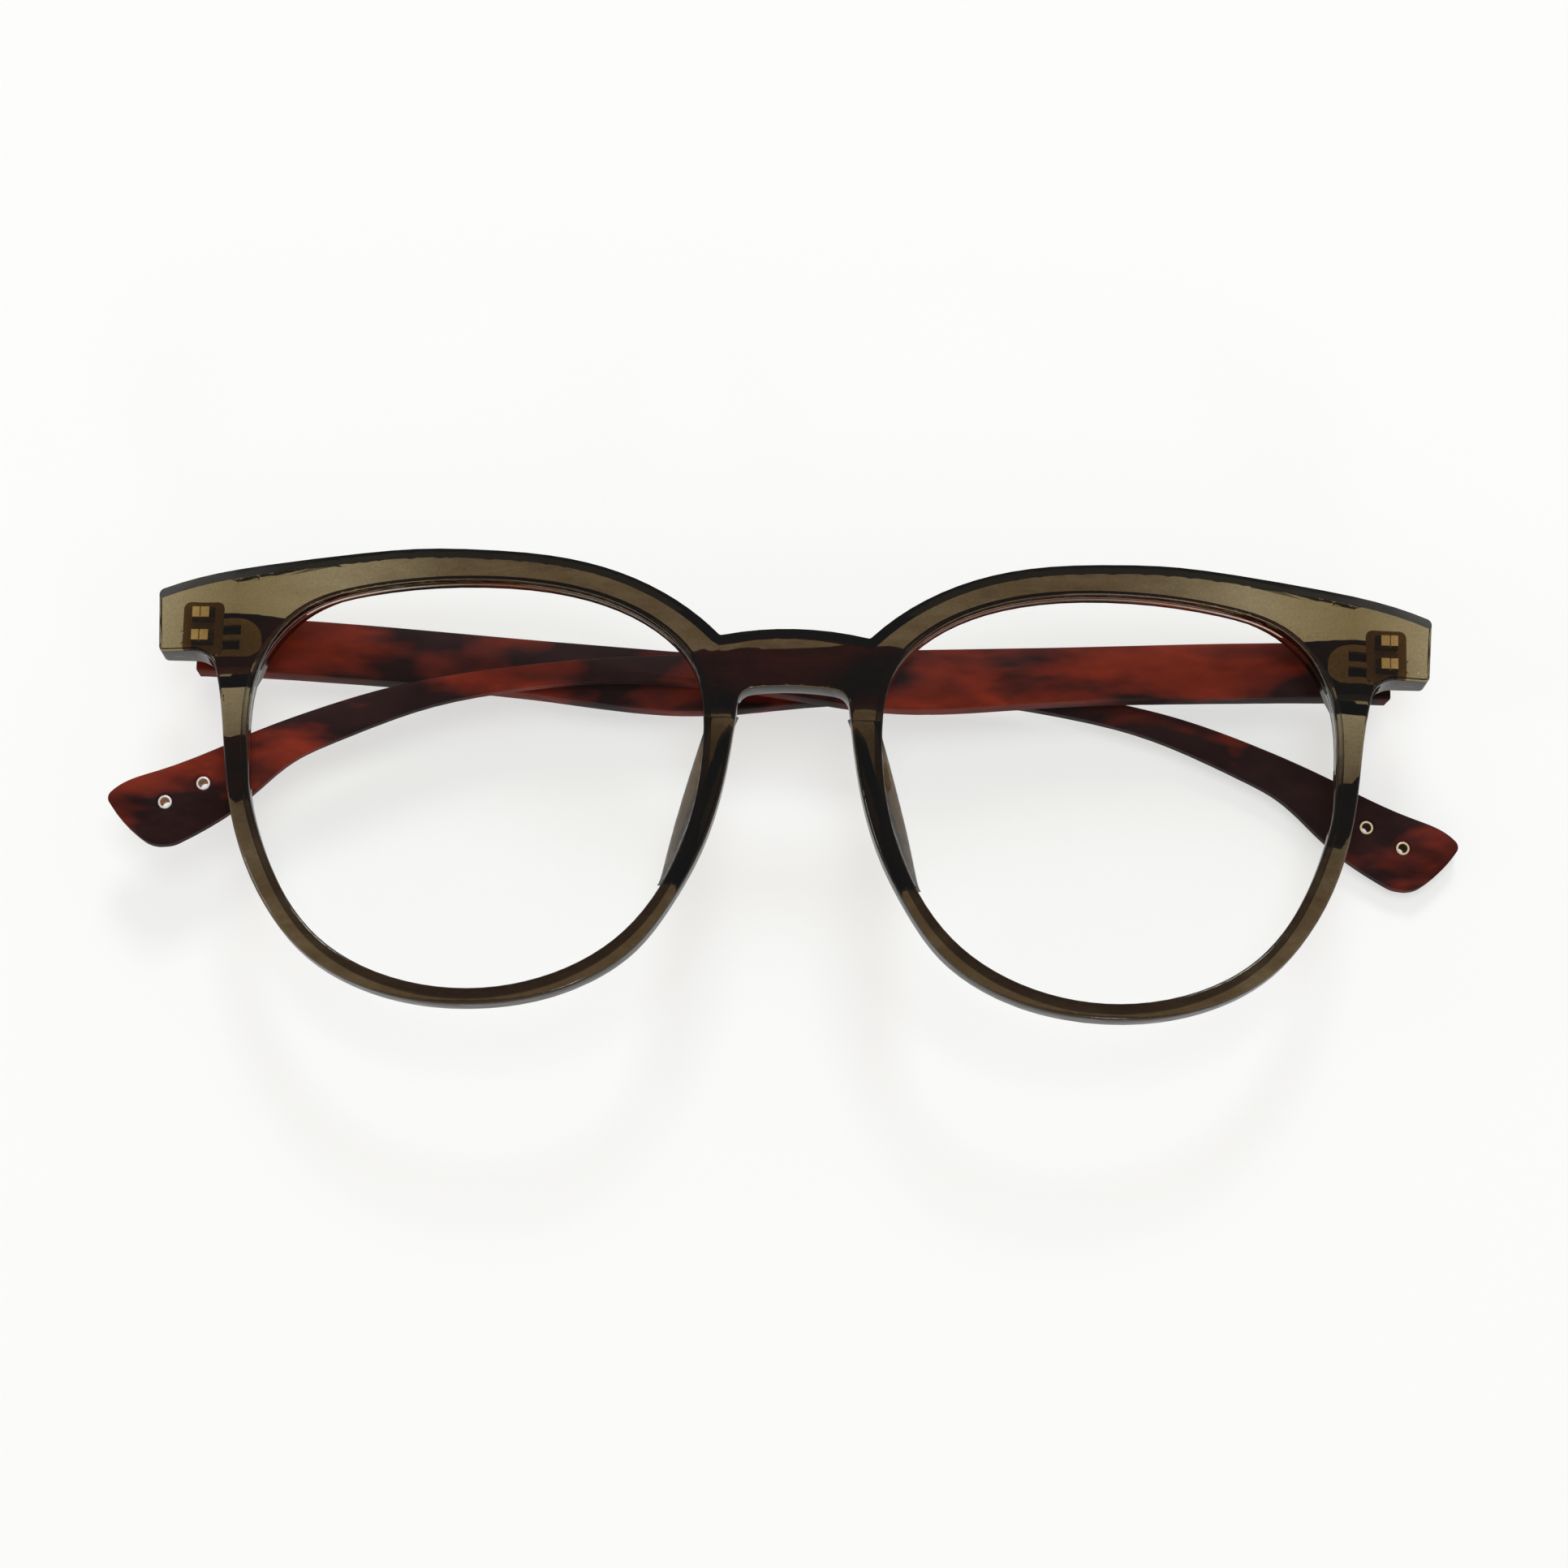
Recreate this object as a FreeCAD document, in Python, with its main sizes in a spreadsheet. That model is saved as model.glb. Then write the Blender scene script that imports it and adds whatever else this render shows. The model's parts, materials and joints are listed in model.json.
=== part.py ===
import FreeCAD, Part
import math
import os
import re

Vector = FreeCAD.Vector
Rotation = FreeCAD.Rotation
Placement = FreeCAD.Placement

# Prescription glasses with a moulded front and five-barrel hinges, folded and lying face up.
# X runs to the wearer's left, Y up towards the brow, Z from the table out through the front.
# The origin is on the table, under the middle of the glasses.

document = FreeCAD.newDocument("glasses")
sheet = document.addObject("Spreadsheet::Sheet", "sizes")

# Driving dimensions in millimetres, and degrees where the name says so
DRIVING = [
    ("lens_width", 53.0, "boxed width of a lens"),
    ("lens_height", 48.1, "boxed height of a lens"),
    ("bridge_width", 18.0, "gap between the boxed lenses"),
    ("lens_thickness", 1.8, "lens from front to back"),
    ("lens_radius", 160.0, "radius of the lens's front surface"),
    ("lens_proud", 0.3, "how far the middle of a lens stands out of the front"),
    ("groove_depth", 0.85, "how deep a lens is held in its rim"),
    ("groove_width", 0.9, "thickness of the lens's edge in the groove"),
    ("lens_play", 0.05, "clearance round a lens"),
    ("bow_radius", 325.0, "radius of the front's bow, seen from above"),
    ("rim_depth", 4.0, "rim from front to back"),
    ("rim_over_lens", 3.0, "rim above the lens's box"),
    ("rim_under_lens", 1.02, "rim below the lens's box"),
    ("rim_beside_lens", 1.5, "rim beside the lens's box"),
    ("endpiece_overhang", 10.4, "side of the lens's box to the end of the front"),
    ("endpiece_depth", 5.3, "endpiece from front to back at the hinge axis"),
    ("endpiece_height", 7.4, "top corner to bottom corner of the endpiece"),
    ("endpiece_block", 9.1, "width of the endpiece's flat back"),
    ("endpiece_ramp", 12.0, "length over which the rim thickens to the endpiece"),
    ("endpiece_blend", 1.6, "slope under the endpiece's back"),
    ("endpiece_rake", 0.4, "how far the endpiece's end leans in at the bottom"),
    ("endpiece_corner", 0.7, "corner radius of the endpiece"),
    ("endpiece_fillet", 3.0, "inside radius under the endpiece"),
    ("bridge_crown", 0.904, "notch up to the middle of the bridge's upper edge"),
    ("bridge_height", 6.75, "bridge from its arch to its upper edge"),
    ("arch_fillet", 1.8, "inside radius at the ends of the arch"),
    ("notch_fillet", 0.5, "inside radius where rim and bridge meet"),
    ("brow_bevel", 1.25, "bevel along the front's upper edge, across the face"),
    ("brow_bevel_drop", 0.72, "the same bevel, down the wall"),
    ("front_round", 0.5, "rounding of the front's lower outer edge"),
    ("back_round", 0.8, "rounding of the front's outer edge at the back"),
    ("aperture_round", 0.25, "rounding of the rim's edge beside the lens"),
    ("pad_reach", 6.0, "nose pad behind the rim"),
    ("pad_thickness", 2.6, "nose pad where it leaves the rim"),
    ("pad_flare", 3.4, "how far a nose pad spreads outwards"),
    ("pad_below_arch", 3.05, "bridge's arch down to the top of a nose pad"),
    ("pad_length", 19.0, "nose pad from top to bottom"),
    ("hinge_over_foot", 3.26, "endpiece's underside up to the middle of the hinge"),
    ("hinge_inset", 5.4, "end of the front to the hinge axis"),
    ("hinge_gap", 1.9, "hinge axis to the endpiece's back"),
    ("hinge_height", 4.5, "length of the five barrels together"),
    ("barrel_radius", 1.05, "outer radius of a barrel"),
    ("screw_radius", 0.6, "radius of the hinge screw"),
    ("screw_play", 0.03, "clearance round the hinge screw"),
    ("screw_head_radius", 0.95, "radius of the screw's head"),
    ("screw_head_height", 0.45, "height of the screw's head"),
    ("screw_slot", 0.3, "width of the slot in the screw's head"),
    ("slot_height", 1.15, "slot in the temple leaf for a barrel of the front leaf"),
    ("slot_pitch", 1.78, "distance between the two slots"),
    ("slot_reach", 3.7, "hinge axis to the end of a slot"),
    ("barrel_play", 0.1, "clearance between neighbouring barrels"),
    ("leaf_reach", 5.6, "hinge axis to the end of the temple leaf"),
    ("leaf_thickness", 0.9, "thickness of the temple leaf"),
    ("leaf_corner", 1.9, "corner radius of the temple leaf"),
    ("plate_width", 4.75, "base plate of the front leaf along X"),
    ("plate_height", 6.1, "base plate of the front leaf along Y"),
    ("plate_thickness", 1.1, "base plate of the front leaf"),
    ("plate_corner", 0.8, "corner radius of the base plate"),
    ("leg_width", 2.65, "anchor leg along X"),
    ("leg_height", 1.2, "anchor leg along Y"),
    ("leg_pitch", 2.67, "distance between the anchor legs"),
    ("leg_length", 3.5, "anchor leg along Z"),
    ("leg_prong", 0.84, "outer prong of an anchor leg along X"),
    ("leg_groove", 0.14, "groove between an anchor leg's prongs"),
    ("leg_groove_depth", 0.9, "depth of that groove"),
    ("leg_chamfer", 0.7, "slope at the inner end of an anchor leg"),
    ("temple_reach", 144.7, "hinge axis to the tip of the temple"),
    ("temple_offset", 1.2, "hinge axis to the temple's inner face"),
    ("root_thickness", 4.0, "temple thickness at the hinge"),
    ("waist_thickness", 3.1, "temple thickness at its waist"),
    ("tip_thickness", 3.4, "temple thickness at the ear end"),
    ("waist_place", 88.0, "hinge axis to the temple's waist"),
    ("temple_rise", 2.95, "temple's upper edge above the hinge's middle, at the hinge"),
    ("temple_fall", 3.45, "temple's lower edge below the hinge's middle, at the hinge"),
    ("temple_drop", 25.1, "hinge's middle down to the lowest point of the ear end"),
    ("temple_seat_play", 0.15, "gap between an open temple and its endpiece"),
    ("temple_outer_round", 0.9, "rounding of the temple's outer edges"),
    ("temple_inner_round", 0.3, "rounding of the temple's inner edges"),
    ("tip_round", 0.8, "corner radius at the temple's tip"),
    ("bevel_start", 60.0, "hinge axis to where the temple's lower bevel begins"),
    ("bevel_width", 3.0, "lower bevel on the ear end, across the inner face"),
    ("bevel_depth", 1.0, "lower bevel on the ear end, into the thickness"),
    ("tip_bevel", 1.2, "bevel round the temple's tip, across the inner face"),
    ("eyelet_radius", 0.8, "outer radius of an eyelet"),
    ("eyelet_bore", 0.56, "radius of an eyelet's bore"),
    ("eyelet_first", 133.8, "hinge axis to the upper eyelet"),
    ("eyelet_spacing", 4.8, "distance between the two eyelets"),
    ("eyelet_slant_degrees", 28.7, "slope of the eyelets' line"),
    ("sink_depth", 0.25, "countersink round an eyelet"),
    ("open_degrees", 94.0, "angle of an open temple from parallel with the front"),
    ("drop_degrees", 2.4, "how far the right temple hangs below parallel, folded"),
    ("tuck_degrees", 1.2, "how far the left temple is folded past parallel"),
    ("touch", 0.01, "how near a point is to a surface that it lies on"),
    ("overrun", 2.0, "how far a cutting solid runs past what it cuts"),
]
for row, (alias, value, note) in enumerate(DRIVING, start=1):
    sheet.set(f"A{row}", alias)
    sheet.set(f"B{row}", str(value))
    sheet.set(f"C{row}", note)
    sheet.setAlias(f"B{row}", alias)

# How high the brow line starts at the bridge and ends at the endpiece, of the rim's rise
NOTCH_SHARE = 0.632
BROW_END_SHARE = 0.850

# Sizes worked out from the driving ones, as formulas of the sheet
DERIVED = [
    ("lens_centre", "(lens_width + bridge_width) / 2"),
    ("rim_rise", "lens_height / 2 + rim_over_lens"),
    ("rim_drop", "lens_height / 2 + rim_under_lens"),
    ("rim_half", "lens_width / 2 + rim_beside_lens"),
    ("endpiece_reach", "lens_width / 2 + endpiece_overhang"),
    ("endpiece_step", "endpiece_reach - endpiece_block"),
    ("endpiece_rise", f"rim_rise * {BROW_END_SHARE} - endpiece_height"),
    ("bridge_top_rise", f"rim_rise * {NOTCH_SHARE} + bridge_crown"),
    ("bridge_arch_rise", "bridge_top_rise - bridge_height"),
    ("pad_top_rise", "bridge_arch_rise - pad_below_arch"),
    ("hinge_rise", "endpiece_rise + hinge_over_foot"),
    ("front_half", "lens_centre + endpiece_reach"),
    ("lens_level", "(rim_under_lens - rim_over_lens) / 2"),
    ("seat_bottom", "lens_level + endpiece_rise - endpiece_fillet - endpiece_blend / 2"),
    ("hinge_place", "front_half - hinge_inset"),
    ("hinge_level", "lens_level + hinge_rise"),
    ("hinge_up", "temple_reach * sin(drop_degrees * 1deg)"
                 " + (temple_offset + tip_thickness) * cos(drop_degrees * 1deg)"),
    ("seat_up", "hinge_up + hinge_gap"),
    ("bow_centre_up", "hinge_up + hinge_gap + endpiece_depth"
                      " - sqrt(bow_radius ^ 2 - hinge_place ^ 2)"),
    ("front_top", "bow_centre_up + bow_radius"),
    ("bow_inner", "bow_radius - rim_depth"),
    ("front_stack", "front_top + overrun"),
]
start = len(DRIVING) + 1
for row, (alias, formula) in enumerate(DERIVED, start=start):
    sheet.set(f"A{row}", alias)
    sheet.set(f"B{row}", "=" + formula)
    sheet.setAlias(f"B{row}", alias)
document.recompute()


def size(alias):
    return float(sheet.get(alias))


ALIASES = {alias for alias, *_ in DRIVING + DERIVED}


def bind(obj, **links):
    # Each word of a formula that is an alias is read from the sheet
    for name, formula in links.items():
        path = name.replace("__", ".")
        formula = re.sub(r"[a-z_]+", lambda word: f"sizes.{word[0]}"
                         if word[0] in ALIASES else word[0], formula)
        obj.setExpression(path, formula)
    return obj


# Outlines, as shares of the sizes they follow
# Lens opening: shares of its half width towards the temple, and of its half height
LENS_SHARES = [
    (0.985, 0.023), (1.0, 0.330), (0.945, 0.642), (0.871, 0.765), (0.756, 0.873),
    (0.486, 0.965), (-0.008, 1.0), (-0.496, 0.926), (-0.748, 0.802), (-0.946, 0.576),
    (-0.998, 0.264), (-0.915, -0.299), (-0.665, -0.738), (-0.265, -0.968),
    (0.192, -0.983), (0.642, -0.754), (0.919, -0.265),
]
# Brow line from the bridge's notch outwards: shares of the rim's half width and rise
BROW_SHARES = [
    (-0.968, NOTCH_SHARE), (-0.784, 0.784), (-0.525, 0.909), (-0.264, 0.970), (-0.014, 0.993),
    (0.243, 1.0), (0.521, 0.981), (0.850, 0.946),
]
# Brow line over the endpiece: shares of the endpiece's reach and of the rim's rise
BROW_END_SHARES = [(0.848, 0.906), (1.0, BROW_END_SHARE)]
# Lower rim from the temple's side round to the nose: shares of its half width and drop
RIM_SHARES = [
    (1.030, 0.345), (0.996, 0.026), (0.932, -0.271), (0.816, -0.542), (0.643, -0.768),
    (0.421, -0.913), (0.186, -0.985), (-0.046, -1.0), (-0.268, -0.969), (-0.480, -0.886),
    (-0.668, -0.740), (-0.805, -0.535), (-0.918, -0.291), (-0.995, -0.006),
    (-1.032, 0.243),
]
RIM_ROOT_SHARE = 1.088
ARCH_END_SHARE = 0.335
ARCH_DROP_SHARE = 0.05


# Temple seen from its inner side: shares of its reach, and of its drop
TEMPLE_TOP_SHARES = [
    (0.137, 0.094), (0.230, 0.064), (0.373, 0.024), (0.547, -0.028), (0.606, -0.052),
    (0.675, -0.100), (0.731, -0.155), (0.766, -0.199), (0.827, -0.311), (0.889, -0.458),
    (0.961, -0.641), (0.991, -0.717), (1.0, -0.769),
]
TEMPLE_TIP_SHARES = [(0.985, -0.880), (0.956, -1.0)]
TEMPLE_LOW_SHARES = [
    (0.934, -0.932), (0.912, -0.853), (0.889, -0.749), (0.854, -0.566), (0.827, -0.482),
    (0.790, -0.386), (0.759, -0.315), (0.729, -0.263), (0.683, -0.209), (0.605, -0.157),
    (0.533, -0.165), (0.462, -0.205), (0.390, -0.253), (0.263, -0.205), (0.137, -0.161),
]
EYELET_DROP_SHARE = 0.693
TAPER_SHARE = 0.7
FULL_BEVEL_SHARE = 0.9
LOW_BEVEL_STEPS = 22
TIP_BEVEL_STEPS = 4
LIP_SHARE = 0.4


def spline(points, closed=False):
    curve = Part.BSplineCurve()
    curve.interpolate(Points=points, PeriodicFlag=closed)
    return curve


def line(start_point, end_point):
    return Part.LineSegment(start_point, end_point)


def lens_curve(side, growth):
    half_width = size("lens_width") / 2 - size("groove_depth") + growth
    half_height = size("lens_height") / 2 - size("groove_depth") + growth
    points = [
        Vector(side * (size("lens_centre") + across * half_width),
               size("lens_level") + rise * half_height, 0)
        for across, rise in LENS_SHARES
    ]
    return [spline(points, closed=True)]


def half_front(side):
    centre = size("lens_centre")
    level = size("lens_level")
    half_width = size("rim_half")
    rise = size("rim_rise")
    drop = size("rim_drop")
    reach = size("endpiece_reach")

    def at(across, up):
        return Vector(side * across, level + up, 0)

    brow = [at(centre + a * half_width, b * rise) for a, b in BROW_SHARES]
    brow += [at(centre + a * reach, b * rise) for a, b in BROW_END_SHARES]
    rim = [at(centre + a * half_width, b * drop) for a, b in RIM_SHARES]
    corner = brow[-1]
    under_end = Vector(corner.x - side * size("endpiece_rake"),
                       corner.y - size("endpiece_height"), 0)
    under_root = at(centre + RIM_ROOT_SHARE * half_width, size("endpiece_rise"))
    arch_end = at(size("bridge_width") * ARCH_END_SHARE,
                  size("bridge_arch_rise") * (1 - ARCH_DROP_SHARE))
    curves = [
        spline(brow),
        line(corner, under_end),
        line(under_end, under_root),
        spline([under_root] + rim + [arch_end]),
    ]
    return curves, brow[0], arch_end


def bridge(notch, arch_end):
    level = size("lens_level")
    top_middle = Vector(0, level + size("bridge_top_rise"), 0)
    arch_middle = Vector(0, level + size("bridge_arch_rise"), 0)
    notch_left, arch_left = [Vector(-p.x, p.y, 0) for p in (notch, arch_end)]
    return [
        Part.Arc(notch_left, top_middle, notch),
        Part.Arc(arch_left, arch_middle, arch_end),
    ]


def sketch_of(name, curves, upright=False):
    sketch = document.addObject("Sketcher::SketchObject", name)
    for curve in curves:
        sketch.addGeometry(curve, False)
    if upright:
        # The sketch's second axis is the row's Z, and its normal points to -Y
        sketch.Placement = Placement(Vector(0, 0, 0), Rotation(Vector(1, 0, 0), 90))
    return sketch


def extrude(name, base, forward, backward="0", direction=Vector(0, 0, 1)):
    solid = document.addObject("Part::Extrusion", name)
    solid.Base = base
    solid.DirMode = "Custom"
    solid.Dir = direction
    solid.Solid = True
    solid.Symmetric = False
    return bind(solid, LengthFwd=forward, LengthRev=backward)


def combine(kind, name, first, second):
    solid = document.addObject(kind, name)
    solid.Base = first
    solid.Tool = second
    return solid


def cut(name, first, second):
    return combine("Part::Cut", name, first, second)


def common(name, first, second):
    return combine("Part::Common", name, first, second)


def fuse(name, pieces):
    solid = document.addObject("Part::MultiFuse", name)
    solid.Shapes = pieces
    solid.Refine = True
    return solid


def box(name, length, width, height, centre_x, centre_y, bottom):
    solid = document.addObject("Part::Box", name)
    return bind(solid, Length=length, Width=width, Height=height,
                Placement__Base__x=f"({centre_x}) - ({length}) / 2",
                Placement__Base__y=f"({centre_y}) - ({width}) / 2",
                Placement__Base__z=bottom)


def round_edges(name, base, radius_of, chamfer=False, drop=None):
    # radius_of gives an edge and its middle point their radius, or 0 to leave it sharp
    document.recompute()
    solid = document.addObject("Part::Chamfer" if chamfer else "Part::Fillet", name)
    solid.Base = base
    chosen = []
    for number, edge in enumerate(base.Shape.Edges, start=1):
        middle = edge.valueAt((edge.FirstParameter + edge.LastParameter) / 2)
        radius = radius_of(edge, middle)
        if radius:
            chosen.append((number, drop or radius, radius))
    if not chosen:
        raise RuntimeError(f"{name} finds no edge")
    solid.Edges = chosen
    return solid


def upright_cylinder(name, radius):
    # A cylinder along Y, as wide as the front is high, for the front's bow
    solid = document.addObject("Part::Cylinder", name)
    solid.Placement = Placement(Vector(0, 0, 0), Rotation(Vector(1, 0, 0), -90))
    return bind(solid, Radius=radius, Height="lens_height * 2",
                Placement__Base__y="-lens_height", Placement__Base__z="bow_centre_up")


# Front: the outline's prism between two bow cylinders, with deeper endpieces
left_half, notch, arch_end = half_front(1)
right_half, _, _ = half_front(-1)
outline = left_half + right_half + bridge(notch, arch_end)
outline_sketch = sketch_of("front_outline", outline)
outline_prism = extrude("front_prism", outline_sketch, "front_stack")


# How nearly an edge follows Z to count as upright, and how wide a view takes in the notches
UPRIGHT_SHARE = 0.99
NOTCH_VIEW_SHARE = 1.2


def near(point, place):
    return math.hypot(abs(point.x) - place.x, point.y - place.y) < size("rim_over_lens") / 4


end_corner = left_half[1].StartPoint
end_foot = left_half[1].EndPoint
end_root = left_half[2].EndPoint
INSIDE_CORNERS = [(end_root, "endpiece_fillet"), (notch, "notch_fillet"), (arch_end, "arch_fillet")]
FOOT_CORNERS = [(end_foot, "endpiece_corner")]
END_CORNERS = [(end_corner, "endpiece_corner")]


def upright(edge):
    return abs(edge.tangentAt(edge.FirstParameter).z) > UPRIGHT_SHARE


def corner_radius(places):
    def radius_of(edge, middle):
        if not upright(edge):
            return 0
        return next((size(alias) for place, alias in places if near(middle, place)), 0)
    return radius_of


def bow_height(x):
    return size("bow_centre_up") + math.sqrt(size("bow_radius") ** 2 - x * x)


def brow_edge(edge, middle):
    # The face's upper edge, from the end corner of one endpiece to the other's
    on_face = abs(middle.z - bow_height(middle.x)) < size("touch")
    over_end = middle.y > end_corner.y - size("touch")
    over_lens = abs(middle.x) < end_root.x and middle.y > notch.y - size("brow_bevel")
    return size("brow_bevel") if on_face and (over_end or over_lens) else 0


def lower_edge(edge, middle):
    # The rest of the face's outline, which is left to be rounded a little
    on_face = abs(middle.z - bow_height(middle.x)) < size("touch")
    return size("front_round") if on_face and not is_bevel(middle) else 0


def is_bevel(middle):
    inner = size("lens_level") + size("bridge_top_rise") - size("brow_bevel") * 3
    beyond_notch = abs(middle.x) > notch.x and middle.y > end_foot.y + size("brow_bevel")
    return abs(middle.x) < notch.x * NOTCH_VIEW_SHARE and middle.y > inner or (
        beyond_notch and abs(middle.x) < end_foot.x)


def ramp_ends():
    # Where the rim's back begins to thicken, and where it meets the endpiece's flat seat
    step = size("lens_centre") + size("endpiece_step")
    start = step - size("endpiece_ramp")
    start_up = size("bow_centre_up") + math.sqrt(size("bow_inner") ** 2 - start * start)
    return Vector(start, start_up, 0), Vector(step, size("seat_up"), 0)


def on_ramp(point):
    start, step = ramp_ends()
    share = (abs(point.x) - start.x) / (step.x - start.x)
    up = start.y + share * (step.y - start.y)
    return 0 < share < 1 and abs(point.z - up) < size("touch")


def back_edge(edge, middle):
    # The outline's edges on the rim's back, and the ramps', but not where the two meet
    radius = math.hypot(middle.x, middle.z - size("bow_centre_up"))
    on_bow = abs(radius - size("bow_inner")) < size("touch")
    is_outline = edge.Curve.TypeId == "Part::GeomBSplineCurve"
    return size("back_round") if on_bow and is_outline or on_ramp(middle) else 0


bow_outside = upright_cylinder("bow_outside", "bow_radius")
bow_inside = upright_cylinder("bow_inside", "bow_inner")
cornered_prism = round_edges("cornered_prism", outline_prism, corner_radius(INSIDE_CORNERS))
bowed_block = common("bowed_block", cornered_prism, bow_outside)
bevelled_block = round_edges("bevelled_block", bowed_block, brow_edge, chamfer=True,
                             drop=size("brow_bevel_drop"))
footed_block = round_edges("footed_block", bevelled_block, corner_radius(FOOT_CORNERS))
softened_block = round_edges("softened_block", footed_block, lower_edge)
ended_block = round_edges("ended_block", softened_block, corner_radius(END_CORNERS))


def endpiece_window(side, word):
    # What stays of the endpiece's back: a flat seat, and a ramp from it to the rim's back
    start, step = ramp_ends()
    end = size("front_half") + size("overrun")
    stack = size("front_stack")
    places = [(step.x, step.y), (end, step.y), (end, stack), (start.x, stack),
              (start.x, start.y)]
    corners = [Vector(side * x, up, 0) for x, up in places]
    sides = [line(*pair) for pair in zip(corners, corners[1:] + corners[:1])]
    sketch = sketch_of(f"window_sketch_{word}", sides, upright=True)
    bottom = size("seat_bottom")
    block = extrude(f"window_block_{word}", sketch, "lens_height", "-seat_bottom",
                    direction=Vector(0, 1, 0))

    def under_edge(edge, middle):
        below = abs(middle.y - bottom) < size("touch")
        inside = middle.z < start.y and abs(middle.x) > start.x and not upright(edge)
        return size("endpiece_blend") if below and inside and abs(middle.x) < end else 0

    return round_edges(f"endpiece_window_{word}", block, under_edge, chamfer=True)


windows = [endpiece_window(side, word) for side, word in ((-1, "right"), (1, "left"))]
back_tool = cut("back_tool", cut("back_tool_right", bow_inside, windows[0]), windows[1])
thin_front = cut("thin_front", ended_block, back_tool)
front_solid = round_edges("front_solid", thin_front, back_edge)

# Lens openings, with their grooves
SIDES = ((-1, "right"), (1, "left"))
opened_front = front_solid
for side, word in SIDES:
    opening = extrude(f"opening_{word}", sketch_of(f"opening_sketch_{word}", lens_curve(side, 0)),
                      "front_stack")
    opened_front = cut(f"opened_front_{word}", opened_front, opening)


def aperture_edge(edge, middle):
    on_face = abs(middle.z - bow_height(middle.x)) < size("touch")
    return size("aperture_round") if on_face and edge.isClosed() else 0


eased_front = round_edges("eased_front", opened_front, aperture_edge)


# Nose pads, lofted behind the nasal side of each rim
# Each section: how far down the pad, its depth, and its spread, as shares
PAD_SHARES = [
    (0.0, 0.10, 0.45), (0.20, 0.62, 0.70), (0.45, 0.96, 0.875), (0.70, 1.0, 0.785),
    (0.88, 0.70, 0.58), (1.0, 0.16, 0.28),
]
# A section's points in turn: its width, spread and depth behind the rim, as shares
PAD_FRONT_SHARES = [(0.135, 0, 0), (0.096, 0, 0.1), (0, 0.45, 0.6), (0, 1, 1)]
PAD_BACK_SHARES = [(0.55, 1, 0.9), (1, 0.45, 0.45), (1, 0, -0.05), (0.9, 0, 0)]


def nasal_edge(up):
    # The rim's nasal edge at a height above the lens centre, along the outline's own points
    points = sorted((b * size("rim_drop"), size("lens_centre") + a * size("rim_half"))
                    for a, b in RIM_SHARES[-5:])
    for (low, low_x), (high, high_x) in zip(points, points[1:]):
        if up <= high:
            break
    return low_x + (high_x - low_x) * (up - low) / (high - low)


def pad_section(side, along, depth_share, spread_share):
    up = size("pad_top_rise") - along * size("pad_length")
    root = nasal_edge(up)
    width = size("pad_thickness")
    depth = size("pad_reach") * depth_share
    spread = size("pad_flare") * spread_share
    back = bow_height(root) - size("rim_depth")
    inside = size("rim_depth") / 2
    places = []
    for number, (w, s, d) in enumerate(PAD_FRONT_SHARES + PAD_BACK_SHARES):
        inner_end = number in (0, len(PAD_FRONT_SHARES + PAD_BACK_SHARES) - 1)
        up_by = inside if inner_end else -depth * d
        places.append((root + w * width + s * spread, back + up_by))
    y = size("lens_level") + up
    return Part.Wire(spline([Vector(side * x, y, z) for x, z in places], closed=True).toShape())


pads = []
for side, word in SIDES:
    pad = document.addObject("Part::Feature", f"pad_{word}")
    sections = [pad_section(side, *shares) for shares in PAD_SHARES]
    pad.Shape = Part.makeLoft(sections, True, False)
    pads.append(pad)
padded_front = fuse("padded_front", [eased_front] + pads)


# Lenses: a domed plate with a tongue round its edge, which the rim's groove takes
def lens_ball(name, side, radius):
    tilt = math.asin(size("lens_centre") / size("bow_radius"))
    out = size("lens_radius") - size("lens_proud")
    ball = document.addObject("Part::Sphere", name)
    ball.Placement.Base = Vector(
        side * (size("lens_centre") - out * math.sin(tilt)), size("lens_level"),
        bow_height(size("lens_centre")) - out * math.cos(tilt))
    return bind(ball, Radius=radius)


def domed_plate(name, side, growth, skin, thickness):
    # The prism of a lens outline between two balls
    edge = sketch_of(f"{name}_sketch", lens_curve(side, growth))
    prism = extrude(f"{name}_prism", edge, "front_stack + lens_proud")
    outer = lens_ball(f"{name}_outer", side, f"lens_radius - ({skin})")
    inner = lens_ball(f"{name}_inner", side, f"lens_radius - ({skin}) - ({thickness})")
    return cut(name, common(f"{name}_domed", prism, outer), inner)


lenses = {}
grooves = []
for side, word in SIDES:
    middle_skin = "(lens_thickness - groove_width) / 2"
    plate = domed_plate(f"lens_plate_{word}", side, -size("lens_play"), "0", "lens_thickness")
    tongue = domed_plate(f"lens_tongue_{word}", side, size("groove_depth") - size("lens_play"),
                         middle_skin, "groove_width")
    lenses[word] = fuse(f"lens_{word}", [plate, tongue])
    grooves.append(domed_plate(f"groove_{word}", side, size("groove_depth"),
                               middle_skin + " - lens_play", "groove_width + lens_play * 2"))

# Hinge pockets in the endpieces, each as deep as its base plate and with two leg holes
def rounded_plate(name, width, height, corner, thickness, x, y, bottom):
    plate = box(f"{name}_plate", width, height, thickness, x, y, bottom)
    return round_edges(name, plate, lambda edge, middle: (
        size(corner) if upright(edge) else 0))


def front_leaf_back(name, side):
    place = f"{side} * hinge_place"
    plate = rounded_plate(name + "_base", "plate_width", "plate_height", "plate_corner",
                          "plate_thickness", place, "hinge_level", "seat_up")
    legs = [anchor_leg(f"{name}_leg_{part}", side, place, f"hinge_level + {step} * leg_pitch / 2")
            for step, part in ((-1, "low"), (1, "high"))]
    return fuse(name, [plate] + legs)


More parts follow.
